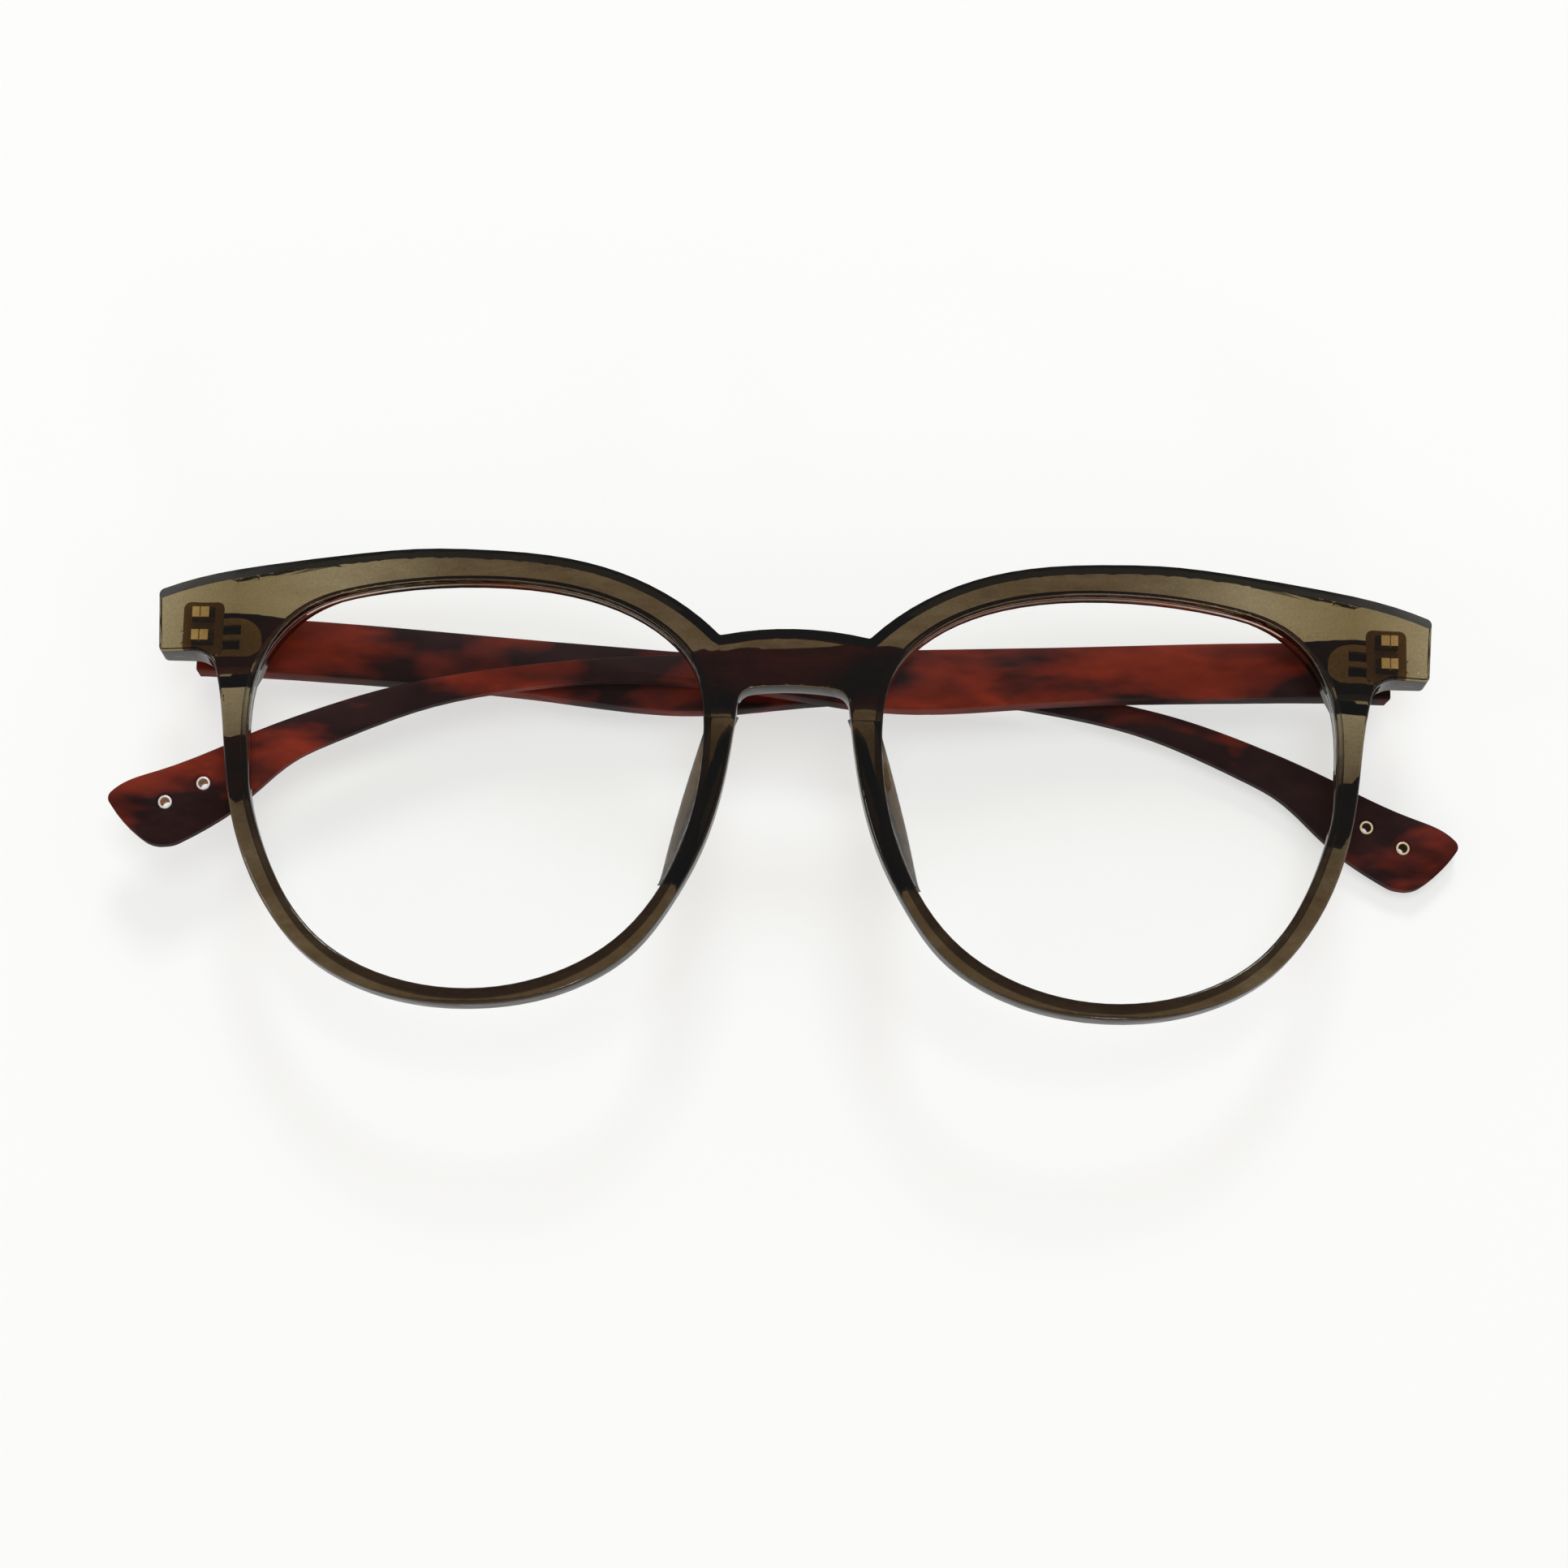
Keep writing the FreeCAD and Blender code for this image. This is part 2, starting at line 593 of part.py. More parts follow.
def anchor_leg(name, side, place, level):
    # A leg with two prongs, sloped towards the lens, for the plastic to grip
    leg = box(f"{name}_block", "leg_width", "leg_height", "leg_length + plate_thickness / 2",
              place, level, "seat_up + plate_thickness / 2")
    top = size("seat_up") + size("plate_thickness") + size("leg_length")

    def sloped(edge, middle):
        inward = side * middle.x < size("hinge_place") - size("leg_width") / 2 + size("touch")
        at_top = abs(middle.z - top) < size("touch")
        return size("leg_chamfer") if inward and at_top else 0

    slanted = round_edges(f"{name}_slanted", leg, sloped, chamfer=True)
    groove = box(f"{name}_groove", "leg_groove", "leg_height * 2", "leg_groove_depth * 2",
                 f"{place} + {side} * (leg_width / 2 - leg_prong - leg_groove / 2)", level,
                 "seat_up + plate_thickness + leg_length - leg_groove_depth")
    return cut(name, slanted, groove)


anchors = {word: front_leaf_back(f"anchor_{word}", side) for side, word in SIDES}
front = padded_front
for number, tool in enumerate(grooves + list(anchors.values())):
    front = cut(f"front_cut_{number}", front, tool)
front.Label = "front_frame"


# Hinges: barrels round an axis along Y, and a screw through them
def barrel(name, x, y, z, radius, length):
    solid = document.addObject("Part::Cylinder", name)
    solid.Placement = Placement(Vector(0, 0, 0), Rotation(Vector(1, 0, 0), -90))
    return bind(solid, Radius=radius, Height=length, Placement__Base__x=x,
                Placement__Base__y=f"({y}) - ({length}) / 2", Placement__Base__z=z)


front_leaves = {}
for side, word in SIDES:
    name = f"front_hinge_{word}"
    place = f"{side} * hinge_place"
    solids = [anchors[word]]
    for step, part in ((-1, "low"), (1, "high")):
        level = f"hinge_level + {step} * slot_pitch / 2"
        width = "slot_height - barrel_play"
        solids.append(barrel(f"{name}_barrel_{part}", place, level, "hinge_up",
                             "barrel_radius", width))
        solids.append(box(f"{name}_web_{part}", "barrel_radius * 2", width,
                          "hinge_gap + plate_thickness / 2", place, level, "hinge_up"))
    bore = barrel(f"{name}_bore", place, "hinge_level", "hinge_up",
                  "screw_radius + screw_play", "hinge_height * 2")
    front_leaves[word] = cut(name, fuse(f"{name}_solid", solids), bore)

# Everything from here on is modelled with the hinge axis at the origin and then placed
# A temple runs from its hinge along X, towards the other side, with its inner face up


def screw(word):
    shaft = barrel(f"screw_shaft_{word}", "0", "-screw_head_height / 2", "0", "screw_radius",
                   "hinge_height + screw_head_height")
    head = barrel(f"screw_head_{word}", "0", "(hinge_height + screw_head_height) / 2", "0",
                  "screw_head_radius", "screw_head_height")
    slot = box(f"screw_slot_{word}", "screw_head_radius * 3", "screw_head_height", "screw_slot",
               "0", "hinge_height / 2 + screw_head_height", "-screw_slot / 2")
    return cut(f"hinge_screw_{word}", fuse(f"screw_solid_{word}", [shaft, head]), slot)


def temple_leaf(side, word):
    name = f"temple_hinge_{word}"
    plate = box(f"{name}_plate", "leaf_reach + barrel_radius", "hinge_height",
                "leaf_thickness", f"{-side} * (leaf_reach - barrel_radius) / 2", "0",
                "-temple_offset - leaf_thickness")
    rounded = round_edges(f"{name}_rounded", plate, leaf_end(side))
    solids = [rounded]
    outer = "(hinge_height - slot_pitch - slot_height) / 2"
    widths = (
        ("low", f"-(hinge_height - {outer}) / 2", outer),
        ("middle", "0", "slot_pitch - slot_height"),
        ("high", f"(hinge_height - {outer}) / 2", outer),
    )
    for part, level, width in widths:
        solids.append(barrel(f"{name}_barrel_{part}", "0", level, "0", "barrel_radius", width))
        solids.append(box(f"{name}_web_{part}", "barrel_radius * 2", width,
                          "temple_offset + leaf_thickness / 2", "0", level,
                          "-temple_offset - leaf_thickness / 2"))
    solid = fuse(f"{name}_solid", solids)
    slots = [
        box(f"{name}_slot_{part}", "slot_reach + barrel_radius * 2", "slot_height",
            "temple_offset + barrel_radius * 2 + leaf_thickness * 2",
            f"{-side} * (slot_reach - barrel_radius * 2) / 2", f"{step} * slot_pitch / 2",
            "-temple_offset - leaf_thickness * 2")
        for step, part in ((-1, "low"), (1, "high"))
    ]
    bore = barrel(f"{name}_bore", "0", "0", "0", "screw_radius + screw_play",
                  "hinge_height * 2")
    return cut(name, cut(f"{name}_slotted", cut(f"{name}_once", solid, slots[0]), slots[1]),
               bore), rounded


def leaf_end(side):
    def radius_of(edge, middle):
        outward = -side * middle.x > 0 and abs(middle.x) > size("slot_reach")
        return size("leaf_corner") if upright(edge) and outward else 0
    return radius_of


def temple_profile(side):
    reach, drop = size("temple_reach"), size("temple_drop")

    def at(shares):
        return Vector(-side * shares[0] * reach, shares[1] * drop, 0)

    root = side * size("hinge_gap")
    top_root = Vector(root, size("temple_rise"), 0)
    low_root = Vector(root, -size("temple_fall"), 0)
    top = [top_root] + [at(shares) for shares in TEMPLE_TOP_SHARES]
    tip = [top[-1]] + [at(shares) for shares in TEMPLE_TIP_SHARES]
    low = [tip[-1]] + [at(shares) for shares in TEMPLE_LOW_SHARES] + [low_root]
    return spline(top), spline(tip), spline(low), line(low_root, top_root)


def temple_plan(side):
    # The temple seen from above: straight inside, tapered outside, and mitred at its root
    # so that its end meets the endpiece squarely when it is fully open
    turn = math.radians(size("open_degrees"))
    seat = size("hinge_gap") - size("temple_seat_play")

    def mitre(up):
        return (up * math.cos(turn) - seat) / math.sin(turn)

    inner = -size("temple_offset")
    root_outer = inner - size("root_thickness")
    waist_outer = inner - size("waist_thickness")
    middle_outer = waist_outer + (root_outer - waist_outer) * TAPER_SHARE
    end = size("temple_reach") + size("overrun")
    waist = size("waist_place")

    def at(along, up):
        return Vector(-side * along, up, 0)

    outer = [at(mitre(root_outer), root_outer), at(waist / 2, middle_outer),
             at(waist, waist_outer), at(end, inner - size("tip_thickness"))]
    inner_root, inner_end = at(mitre(inner), inner), at(end, inner)
    return [spline(outer), line(outer[-1], inner_end), line(inner_end, inner_root),
            line(inner_root, outer[0])]


def bevel_section(point, inward, width, depth):
    # A triangle that takes the corner between the inner face and the edge
    over = size("overrun")
    inner = -size("temple_offset")
    on_face = point + inward * width + Vector(0, 0, inner)
    on_wall = point + Vector(0, 0, inner - depth)
    slope = (on_face - on_wall).normalize() * over
    outside = point - inward * over + Vector(0, 0, inner + over)
    return Part.makePolygon([on_face + slope, on_wall - slope, outside, on_face + slope])


def bevel_tool(side, name, curve, steps, width_at):
    # A loft of triangles along an edge of the inner face, longer than the edge at both ends
    edge = curve.toShape()
    sections = []
    for step in range(steps + 1):
        share = step / steps
        parameter = edge.getParameterByLength(edge.Length * share)
        point = edge.valueAt(parameter)
        along = edge.tangentAt(parameter)
        inward = Vector(-along.y, along.x, 0) * side
        width = width_at(abs(point.x))
        depth = size("bevel_depth") * math.sqrt(width / size("bevel_width"))
        if step == 0:
            sections.append(bevel_section(point - along * size("bevel_depth"), inward, width, depth))
        sections.append(bevel_section(point, inward, width, depth))
        if width < size("touch") * 2:
            break
    if step == steps:
        sections.append(bevel_section(point + along * size("bevel_depth"), inward, width, depth))
    tool = document.addObject("Part::Feature", name)
    tool.Shape = Part.makeLoft(sections, True, True)
    return tool


def low_bevel(along):
    # Nothing up to the bevel's start, and its full width a little before the ear end
    share = (along - size("bevel_start")) / (size("temple_reach") * FULL_BEVEL_SHARE
                                             - size("bevel_start"))
    share = min(max(share, 0), 1)
    return size("touch") + (size("bevel_width") - size("touch")) * share ** 2 * (3 - 2 * share)


def tip_bevel(along):
    return size("tip_bevel")


def long_edge(edge, middle):
    # The edges of a temple's inner and outer face, but not those of its mitred root
    at_root = abs(middle.x) < size("hinge_gap")
    if upright(edge) or at_root:
        return 0
    inner = middle.z > -size("temple_offset") - size("touch")
    return size("temple_inner_round" if inner else "temple_outer_round")


def tip_corner(edge, middle):
    return size("tip_round") if upright(edge) and abs(middle.x) > size("waist_place") else 0


def temple(side, word, leaf_blank):
    top, tip, low, root = temple_profile(side)
    profile = sketch_of(f"temple_profile_{word}", [top, tip, low, root])
    bind(profile, Placement__Base__z="-temple_offset")
    slab = extrude(f"temple_slab_{word}", profile, "root_thickness + overrun",
                   direction=Vector(0, 0, -1))
    plan = extrude(f"temple_taper_{word}",
                   sketch_of(f"temple_plan_{word}", temple_plan(side), upright=True),
                   "temple_drop * 2", "temple_drop * 2", direction=Vector(0, 1, 0))
    blank = common(f"temple_blank_{word}", slab, plan)
    tipped = round_edges(f"temple_tipped_{word}", blank, tip_corner)
    eased = round_edges(f"temple_eased_{word}", tipped, long_edge)
    bevelled = cut(f"temple_bevelled_{word}",
                   cut(f"temple_bevel_once_{word}", eased,
                       bevel_tool(side, f"low_bevel_{word}", low, LOW_BEVEL_STEPS, low_bevel)),
                   bevel_tool(side, f"tip_bevel_{word}", tip, TIP_BEVEL_STEPS, tip_bevel))
    return cut(f"temple_body_{word}", bevelled, leaf_blank)


def eyelet_place(side, number):
    slant = math.radians(size("eyelet_slant_degrees"))
    along = size("eyelet_first") + number * size("eyelet_spacing") * math.cos(slant)
    down = size("temple_drop") * EYELET_DROP_SHARE + number * size("eyelet_spacing") * math.sin(slant)
    return -side * along, -down


def disc(name, x, y, bottom, radius, height):
    solid = document.addObject("Part::Cylinder", name)
    solid.Placement.Base = Vector(x, y, 0)
    return bind(solid, Radius=radius, Height=height, Placement__Base__z=bottom)


def eyelet(side, word, number, part):
    name = f"eyelet_{word}_{part}"
    x, y = eyelet_place(side, number)
    bottom = "-temple_offset - tip_thickness + sink_depth"
    height = "tip_thickness - sink_depth * 2"
    tube = disc(f"{name}_tube", x, y, bottom, "eyelet_radius", height)
    lip = (size("eyelet_radius") - size("eyelet_bore")) * LIP_SHARE
    rounded = round_edges(f"{name}_rounded", tube, lambda edge, middle: (
        lip if edge.isClosed() else 0))
    bore = disc(f"{name}_bore", x, y, "-temple_offset - root_thickness", "eyelet_bore",
                "root_thickness * 2")
    hole = disc(f"{name}_hole", x, y, "-temple_offset - root_thickness", "eyelet_radius",
                "root_thickness * 2")
    sink = document.addObject("Part::Cone", f"{name}_sink")
    sink.Placement.Base = Vector(x, y, 0)
    bind(sink, Radius1="eyelet_radius", Radius2="eyelet_radius + sink_depth * 2",
         Height="sink_depth * 2", Placement__Base__z="-temple_offset - sink_depth")
    return cut(name, rounded, bore), fuse(f"{name}_seat", [hole, sink])


# The pieces that turn with a temple, and where each pair of them is hinged
turning = []
for side, word in SIDES:
    leaf, leaf_blank = temple_leaf(side, word)
    arm = temple(side, word, leaf_blank)
    rings = []
    for number, part in ((0, "upper"), (1, "lower")):
        ring, seat = eyelet(side, word, number, part)
        rings.append(ring)
        arm = cut(f"temple_{word}_{part}", arm, seat)
    arm.Label = f"temple_{word}"
    leaf.Label = f"temple_hinge_{word}"
    pin = screw(word)
    for piece in [arm, leaf, pin] + rings:
        piece.Placement.Rotation.Axis = Vector(0, 1, 0)
        bind(piece, Placement__Base__x=f"{side} * hinge_place", Placement__Base__y="hinge_level",
             Placement__Base__z="hinge_up")
        turn = size("drop_degrees" if side < 0 else "tuck_degrees")
        place = Vector(side * size("hinge_place"), size("hinge_level"), size("hinge_up"))
        piece.Placement = Placement(place, Rotation(Vector(0, 1, 0), turn))
        turning.append(piece)

pieces = [front] + list(lenses.values()) + list(front_leaves.values()) + turning
document.recompute()

# Every object is checked, and then each piece is written under its own name
for obj in document.Objects:
    if "Invalid" in obj.State or "Error" in obj.State:
        raise RuntimeError(f"{obj.Name} failed: {obj.State}")
for piece in pieces:
    if piece.Shape.isNull() or not piece.Shape.isValid() or len(piece.Shape.Solids) != 1:
        raise RuntimeError(f"{piece.Label} is no sound solid")
os.makedirs("parts", exist_ok=True)
for piece in pieces:
    piece.Shape.exportStep(f"parts/{piece.Label}.step")
    print(piece.Label, round(piece.Shape.Volume, 1), "cubic millimetres")
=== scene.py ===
import json
import math

import bmesh
import bpy
from mathutils import Matrix, Vector


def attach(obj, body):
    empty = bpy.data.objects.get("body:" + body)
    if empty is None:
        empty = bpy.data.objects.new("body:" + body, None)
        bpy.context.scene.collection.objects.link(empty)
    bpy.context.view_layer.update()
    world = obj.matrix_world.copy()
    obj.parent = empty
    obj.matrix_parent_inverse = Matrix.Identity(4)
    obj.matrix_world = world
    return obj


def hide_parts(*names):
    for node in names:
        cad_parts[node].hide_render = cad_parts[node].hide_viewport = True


bl_info = {
    "name": "Folded Glasses",
    "version": (1, 0, 0),
    "blender": (4, 5, 0),
    "location": "3D View > Sidebar > Glasses",
    "description": "Dresses a pair of folded plastic glasses and the table they lie on",
    "category": "Object",
}

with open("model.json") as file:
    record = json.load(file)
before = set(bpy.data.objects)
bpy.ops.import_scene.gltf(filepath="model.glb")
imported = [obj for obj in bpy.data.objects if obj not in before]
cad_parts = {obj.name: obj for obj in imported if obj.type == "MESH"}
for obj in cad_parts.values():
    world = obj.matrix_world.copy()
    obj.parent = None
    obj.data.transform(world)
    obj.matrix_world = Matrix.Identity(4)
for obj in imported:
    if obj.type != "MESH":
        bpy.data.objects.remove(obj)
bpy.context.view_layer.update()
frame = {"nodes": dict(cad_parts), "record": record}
BODIES = {node: body for body, nodes in frame["record"]["behaviour"]["bodies"].items()
          for node in nodes}
MM = 0.001
# The wearer's sides. The order of the eyelets' materials follows it
SIDES = ("right", "left")
# Each lamp's place and width in metres, and its share of the lamp power
LAMPS = {
    "overhead": ((0.1, 0.15, 2.0), 0.7, 0.8),
    "back": ((0.1, 1.35, 1.5), 0.5, 0.8),
    "side": ((-2.0, -0.2, 0.9), 0.4, 0.2),
    "front": ((0.5, -1.8, 0.8), 0.35, 0.16),
}


# Settings

class GlassesSizes(bpy.types.PropertyGroup):
    crease_angle: bpy.props.FloatProperty(
        name="Crease Angle", description="Edges sharper than this stay crisp",
        default=math.radians(28), subtype="ANGLE")
    merge_distance: bpy.props.FloatProperty(
        name="Merge Distance", description="How near two points are to be one",
        default=0.000001, precision=6, unit="LENGTH")
    tip_radius: bpy.props.FloatProperty(
        name="Tip Radius", description="Radius of the lowest corner of each temple",
        default=4 * MM, precision=4, unit="LENGTH")
    tip_cut_radius: bpy.props.FloatProperty(
        name="Tip Cut Radius", description="Radius that the CAD solid has at that corner",
        default=0.8 * MM, precision=4, unit="LENGTH")
    tip_slope: bpy.props.FloatProperty(
        name="Tip Slope", description="How steeply the edges leave that corner",
        default=math.radians(30), subtype="ANGLE")
    tip_cuts: bpy.props.IntProperty(
        name="Tip Cuts", description="Cuts through that corner on each side of its middle",
        default=5, min=1)
    # Where the front's painted shade gives way to its paler tint, sideways and upwards
    painted_shade_side: bpy.props.FloatVectorProperty(
        name="Pale Side", description="Where the front turns pale, from its middle outwards",
        default=(34 * MM, 62 * MM), size=2, unit="LENGTH")
    painted_shade_top: bpy.props.FloatVectorProperty(
        name="Pale Top", description="Where the front turns pale, from its middle upwards",
        default=(0, 15 * MM), size=2, unit="LENGTH")
    # Where the painted dark reflection on the brow's bevel starts
    brow_start: bpy.props.FloatVectorProperty(
        name="Brow Start", description="Where the brow's dark bevel starts, from the middle upwards",
        default=(8.5 * MM, 9.5 * MM), size=2, unit="LENGTH")
    ejector_place: bpy.props.FloatVectorProperty(
        name="Ejector Place", description="Middle of the left mould mark, and mirrored the right",
        default=(70 * MM, 16.1 * MM, 0), size=3, subtype="XYZ", unit="LENGTH")
    ejector_radius: bpy.props.FloatProperty(
        name="Ejector Radius", description="Radius of the two round mould marks",
        default=0.9 * MM, precision=4, unit="LENGTH")
    relief_depth: bpy.props.FloatProperty(
        name="Relief Depth", description="Depth of the mould marks and of the front's unevenness",
        default=0.06 * MM, precision=6, unit="LENGTH")
    grain_depth: bpy.props.FloatProperty(
        name="Grain Depth", description="Depth of the temples' fine grain",
        default=0.05 * MM, precision=6, unit="LENGTH")


class GlassesColours(bpy.types.PropertyGroup):
    olive: bpy.props.FloatVectorProperty(
        name="Olive", description="What a thin layer of the front's plastic lets through",
        default=(0.47, 0.37, 0.10), size=3, min=0, max=1, subtype="COLOR")
    olive_pale: bpy.props.FloatVectorProperty(
        name="Pale Olive", description="Tint of the front's plastic by the temples",
        default=(0.97, 0.96, 0.92), size=3, min=0, max=1, subtype="COLOR")
    # Painted shade, not a tint of the plastic itself
    olive_painted_shade: bpy.props.FloatVectorProperty(
        name="Dark Olive", description="Tint of the front's plastic along its bottom",
        default=(0.22, 0.16, 0.11), size=3, min=0, max=1, subtype="COLOR")
    # Painted dark reflection on the bevel, and painted shade on the steep edges
    olive_painted_black: bpy.props.FloatVectorProperty(
        name="Black Olive", description="Tint of the front's plastic on the brow's bevel",
        default=(0.003, 0.0028, 0.0022), size=3, min=0, max=1, subtype="COLOR")
    olive_density: bpy.props.FloatProperty(
        name="Olive Density", description="How fast the front's plastic swallows light",
        default=480.0, min=0)
    olive_shadow: bpy.props.FloatVectorProperty(
        name="Olive Shadow", description="Tint of the light that crosses the front to the table",
        default=(0.70, 0.64, 0.54), size=3, min=0, max=1, subtype="COLOR")
    lens: bpy.props.FloatVectorProperty(
        name="Lens", description="Tint of the lenses",
        default=(0.995, 0.998, 0.995), size=3, min=0, max=1, subtype="COLOR")
    lens_shadow: bpy.props.FloatVectorProperty(
        name="Lens Shadow", description="Tint of the light that crosses a lens to the table",
        default=(0.985, 0.985, 0.985), size=3, min=0, max=1, subtype="COLOR")
    red: bpy.props.FloatVectorProperty(
        name="Dark Red", description="Paler patches of the temples",
        default=(0.20, 0.023, 0.010), size=3, min=0, max=1, subtype="COLOR")
    red_black: bpy.props.FloatVectorProperty(
        name="Red Black", description="Darker patches of the temples",
        default=(0.024, 0.009, 0.009), size=3, min=0, max=1, subtype="COLOR")
    gold: bpy.props.FloatVectorProperty(
        name="Gold", description="Hinge leaves and screws",
        default=(0.94, 0.74, 0.39), size=3, min=0, max=1, subtype="COLOR")
    gold_ring: bpy.props.FloatVectorProperty(
        name="Gold Ring", description="Rims of the right temple's eyelets",
        default=(0.90, 0.76, 0.50), size=3, min=0, max=1, subtype="COLOR")
    steel: bpy.props.FloatVectorProperty(
        name="Steel", description="The left temple's eyelets",
        default=(0.93, 0.92, 0.88), size=3, min=0, max=1, subtype="COLOR")
    # Painted shade inside the right temple's eyelets, deeper as that temple lies nearer the table
    gold_bore_shade: bpy.props.FloatVectorProperty(
        name="Gold Bore", description="Inside of the right temple's eyelets",
        default=(0.24, 0.13, 0.07), size=3, min=0, max=1, subtype="COLOR")
    # Painted shade inside the left temple's eyelets
    steel_bore_shade: bpy.props.FloatVectorProperty(
        name="Steel Bore", description="Inside of the left temple's eyelets",
        default=(0.74, 0.52, 0.37), size=3, min=0, max=1, subtype="COLOR")
    table: bpy.props.FloatVectorProperty(
        name="Table", description="The table that the glasses lie on",
        default=(0.97, 0.97, 0.955), size=3, min=0, max=1, subtype="COLOR")


class GlassesFinish(bpy.types.PropertyGroup):
    olive_roughness: bpy.props.FloatProperty(
        name="Olive Roughness", description="Roughness of the front's plastic",
        default=0.05, min=0, max=1, subtype="FACTOR")
    olive_ior: bpy.props.FloatProperty(
        name="Olive IOR", description="How strongly the front's plastic bends light",
        default=1.49, min=1)
    # Share of the unshaded tint left where the painted shade is deepest
    least_unshaded: bpy.props.FloatProperty(
        name="Least Pale", description="Share of the pale tint where the front is darkest",
        default=0.1, min=0, max=1, subtype="FACTOR")
    # Strength of the painted shade on the front's steep edges
    edge_painted_shade: bpy.props.FloatProperty(
        name="Edge Depth", description="Share of black in the front's steep edges",
        default=0.75, min=0, max=1, subtype="FACTOR")
    flow_scale: bpy.props.FloatProperty(
        name="Flow Scale", description="Flow marks in a metre of the front's height",
        default=420, min=0)
    flow_stretch: bpy.props.FloatProperty(
        name="Flow Stretch", description="Their scale along the brow, as a share of that",
        default=0.3, min=0)
    flow_sway: bpy.props.FloatProperty(
        name="Flow Sway", description="How far they move the tint to either side",
        default=0.2, min=0, max=1, subtype="FACTOR")
    fleck_scale: bpy.props.FloatProperty(
        name="Fleck Scale", description="Flecks in a metre of the front",
        default=4500, min=0)
    swell_scale: bpy.props.FloatProperty(
        name="Swell Scale", description="Swells in a metre of the front's faces",
        default=260, min=0)
    relief_strength: bpy.props.FloatProperty(
        name="Relief Strength", description="Strength of the mould marks and the swells",
        default=0.6, min=0, max=1, subtype="FACTOR")
    lens_ior: bpy.props.FloatProperty(
        name="Lens IOR", description="How strongly a lens bends light",
        default=1.18, min=1)
    red_roughness: bpy.props.FloatProperty(
        name="Red Roughness", description="Roughness of the temples",
        default=0.5, min=0, max=1, subtype="FACTOR")
    red_specular: bpy.props.FloatProperty(
        name="Red Specular", description="Strength of the temples' reflections",
        default=0.08, min=0, max=1, subtype="FACTOR")
    patch_scale: bpy.props.FloatProperty(
        name="Patch Scale", description="Patches in a metre of a temple, before stretching",
        default=92, min=0)
    patch_stretch: bpy.props.FloatVectorProperty(
        name="Patch Stretch", description="Scale of the patches along, across and through",
        default=(0.62, 1.5, 1.2), size=3, subtype="XYZ")
    patch_slant: bpy.props.FloatProperty(
        name="Patch Slant", description="How far the patches lean",
        default=math.radians(-32), subtype="ANGLE")
    patch_shift: bpy.props.FloatVectorProperty(
        name="Patch Shift", description="Moves the patches over the temples",
        default=(16 * MM, 31 * MM, 0), size=3, subtype="XYZ", unit="LENGTH")
    patch_limits: bpy.props.FloatVectorProperty(
        name="Patch Limits", description="Noise below which all is black, and above which all is red",
        default=(0.43, 0.58), size=2, min=0, max=1)
    cloud_scale: bpy.props.FloatProperty(
        name="Cloud Scale", description="Clouds in a metre of a temple, before stretching",
        default=240, min=0)
    grain_scale: bpy.props.FloatProperty(
        name="Grain Scale", description="Grains in a metre of a temple",
        default=5200, min=0)
    grain_strength: bpy.props.FloatProperty(
        name="Grain Strength", description="Strength of the temples' grain",
        default=0.08, min=0, max=1, subtype="FACTOR")
    brass_roughness: bpy.props.FloatProperty(
        name="Leaf Roughness", description="Roughness of the hinge leaves",
        default=0.34, min=0, max=1, subtype="FACTOR")
    screw_roughness: bpy.props.FloatProperty(
        name="Screw Roughness", description="Roughness of the screws",
        default=0.16, min=0, max=1, subtype="FACTOR")
    side_metallic: bpy.props.FloatProperty(
        name="Side Metallic", description="How metallic the hinges' sides are",
        default=0.6, min=0, max=1, subtype="FACTOR")
    top_metallic: bpy.props.FloatProperty(
        name="Top Metallic", description="How metallic the hinges are where they face the plastic",
        default=0.05, min=0, max=1, subtype="FACTOR")
    tarnish_scale: bpy.props.FloatProperty(
        name="Tarnish Scale", description="Specks of tarnish in a metre of metal",
        default=1800, min=0)
    eyelet_roughness: bpy.props.FloatProperty(
        name="Eyelet Roughness", description="Roughness of the eyelets' rims",
        default=0.3, min=0, max=1, subtype="FACTOR")
    eyelet_metallic: bpy.props.FloatProperty(
        name="Eyelet Metallic", description="How metallic the eyelets' rims are",
        default=0.4, min=0, max=1, subtype="FACTOR")
    eyelet_specular: bpy.props.FloatProperty(
        name="Eyelet Specular", description="Strength of the eyelets' reflections",
        default=0.3, min=0, max=1, subtype="FACTOR")
    bore_roughness: bpy.props.FloatProperty(
        name="Bore Roughness", description="Roughness inside the eyelets",
        default=0.8, min=0, max=1, subtype="FACTOR")


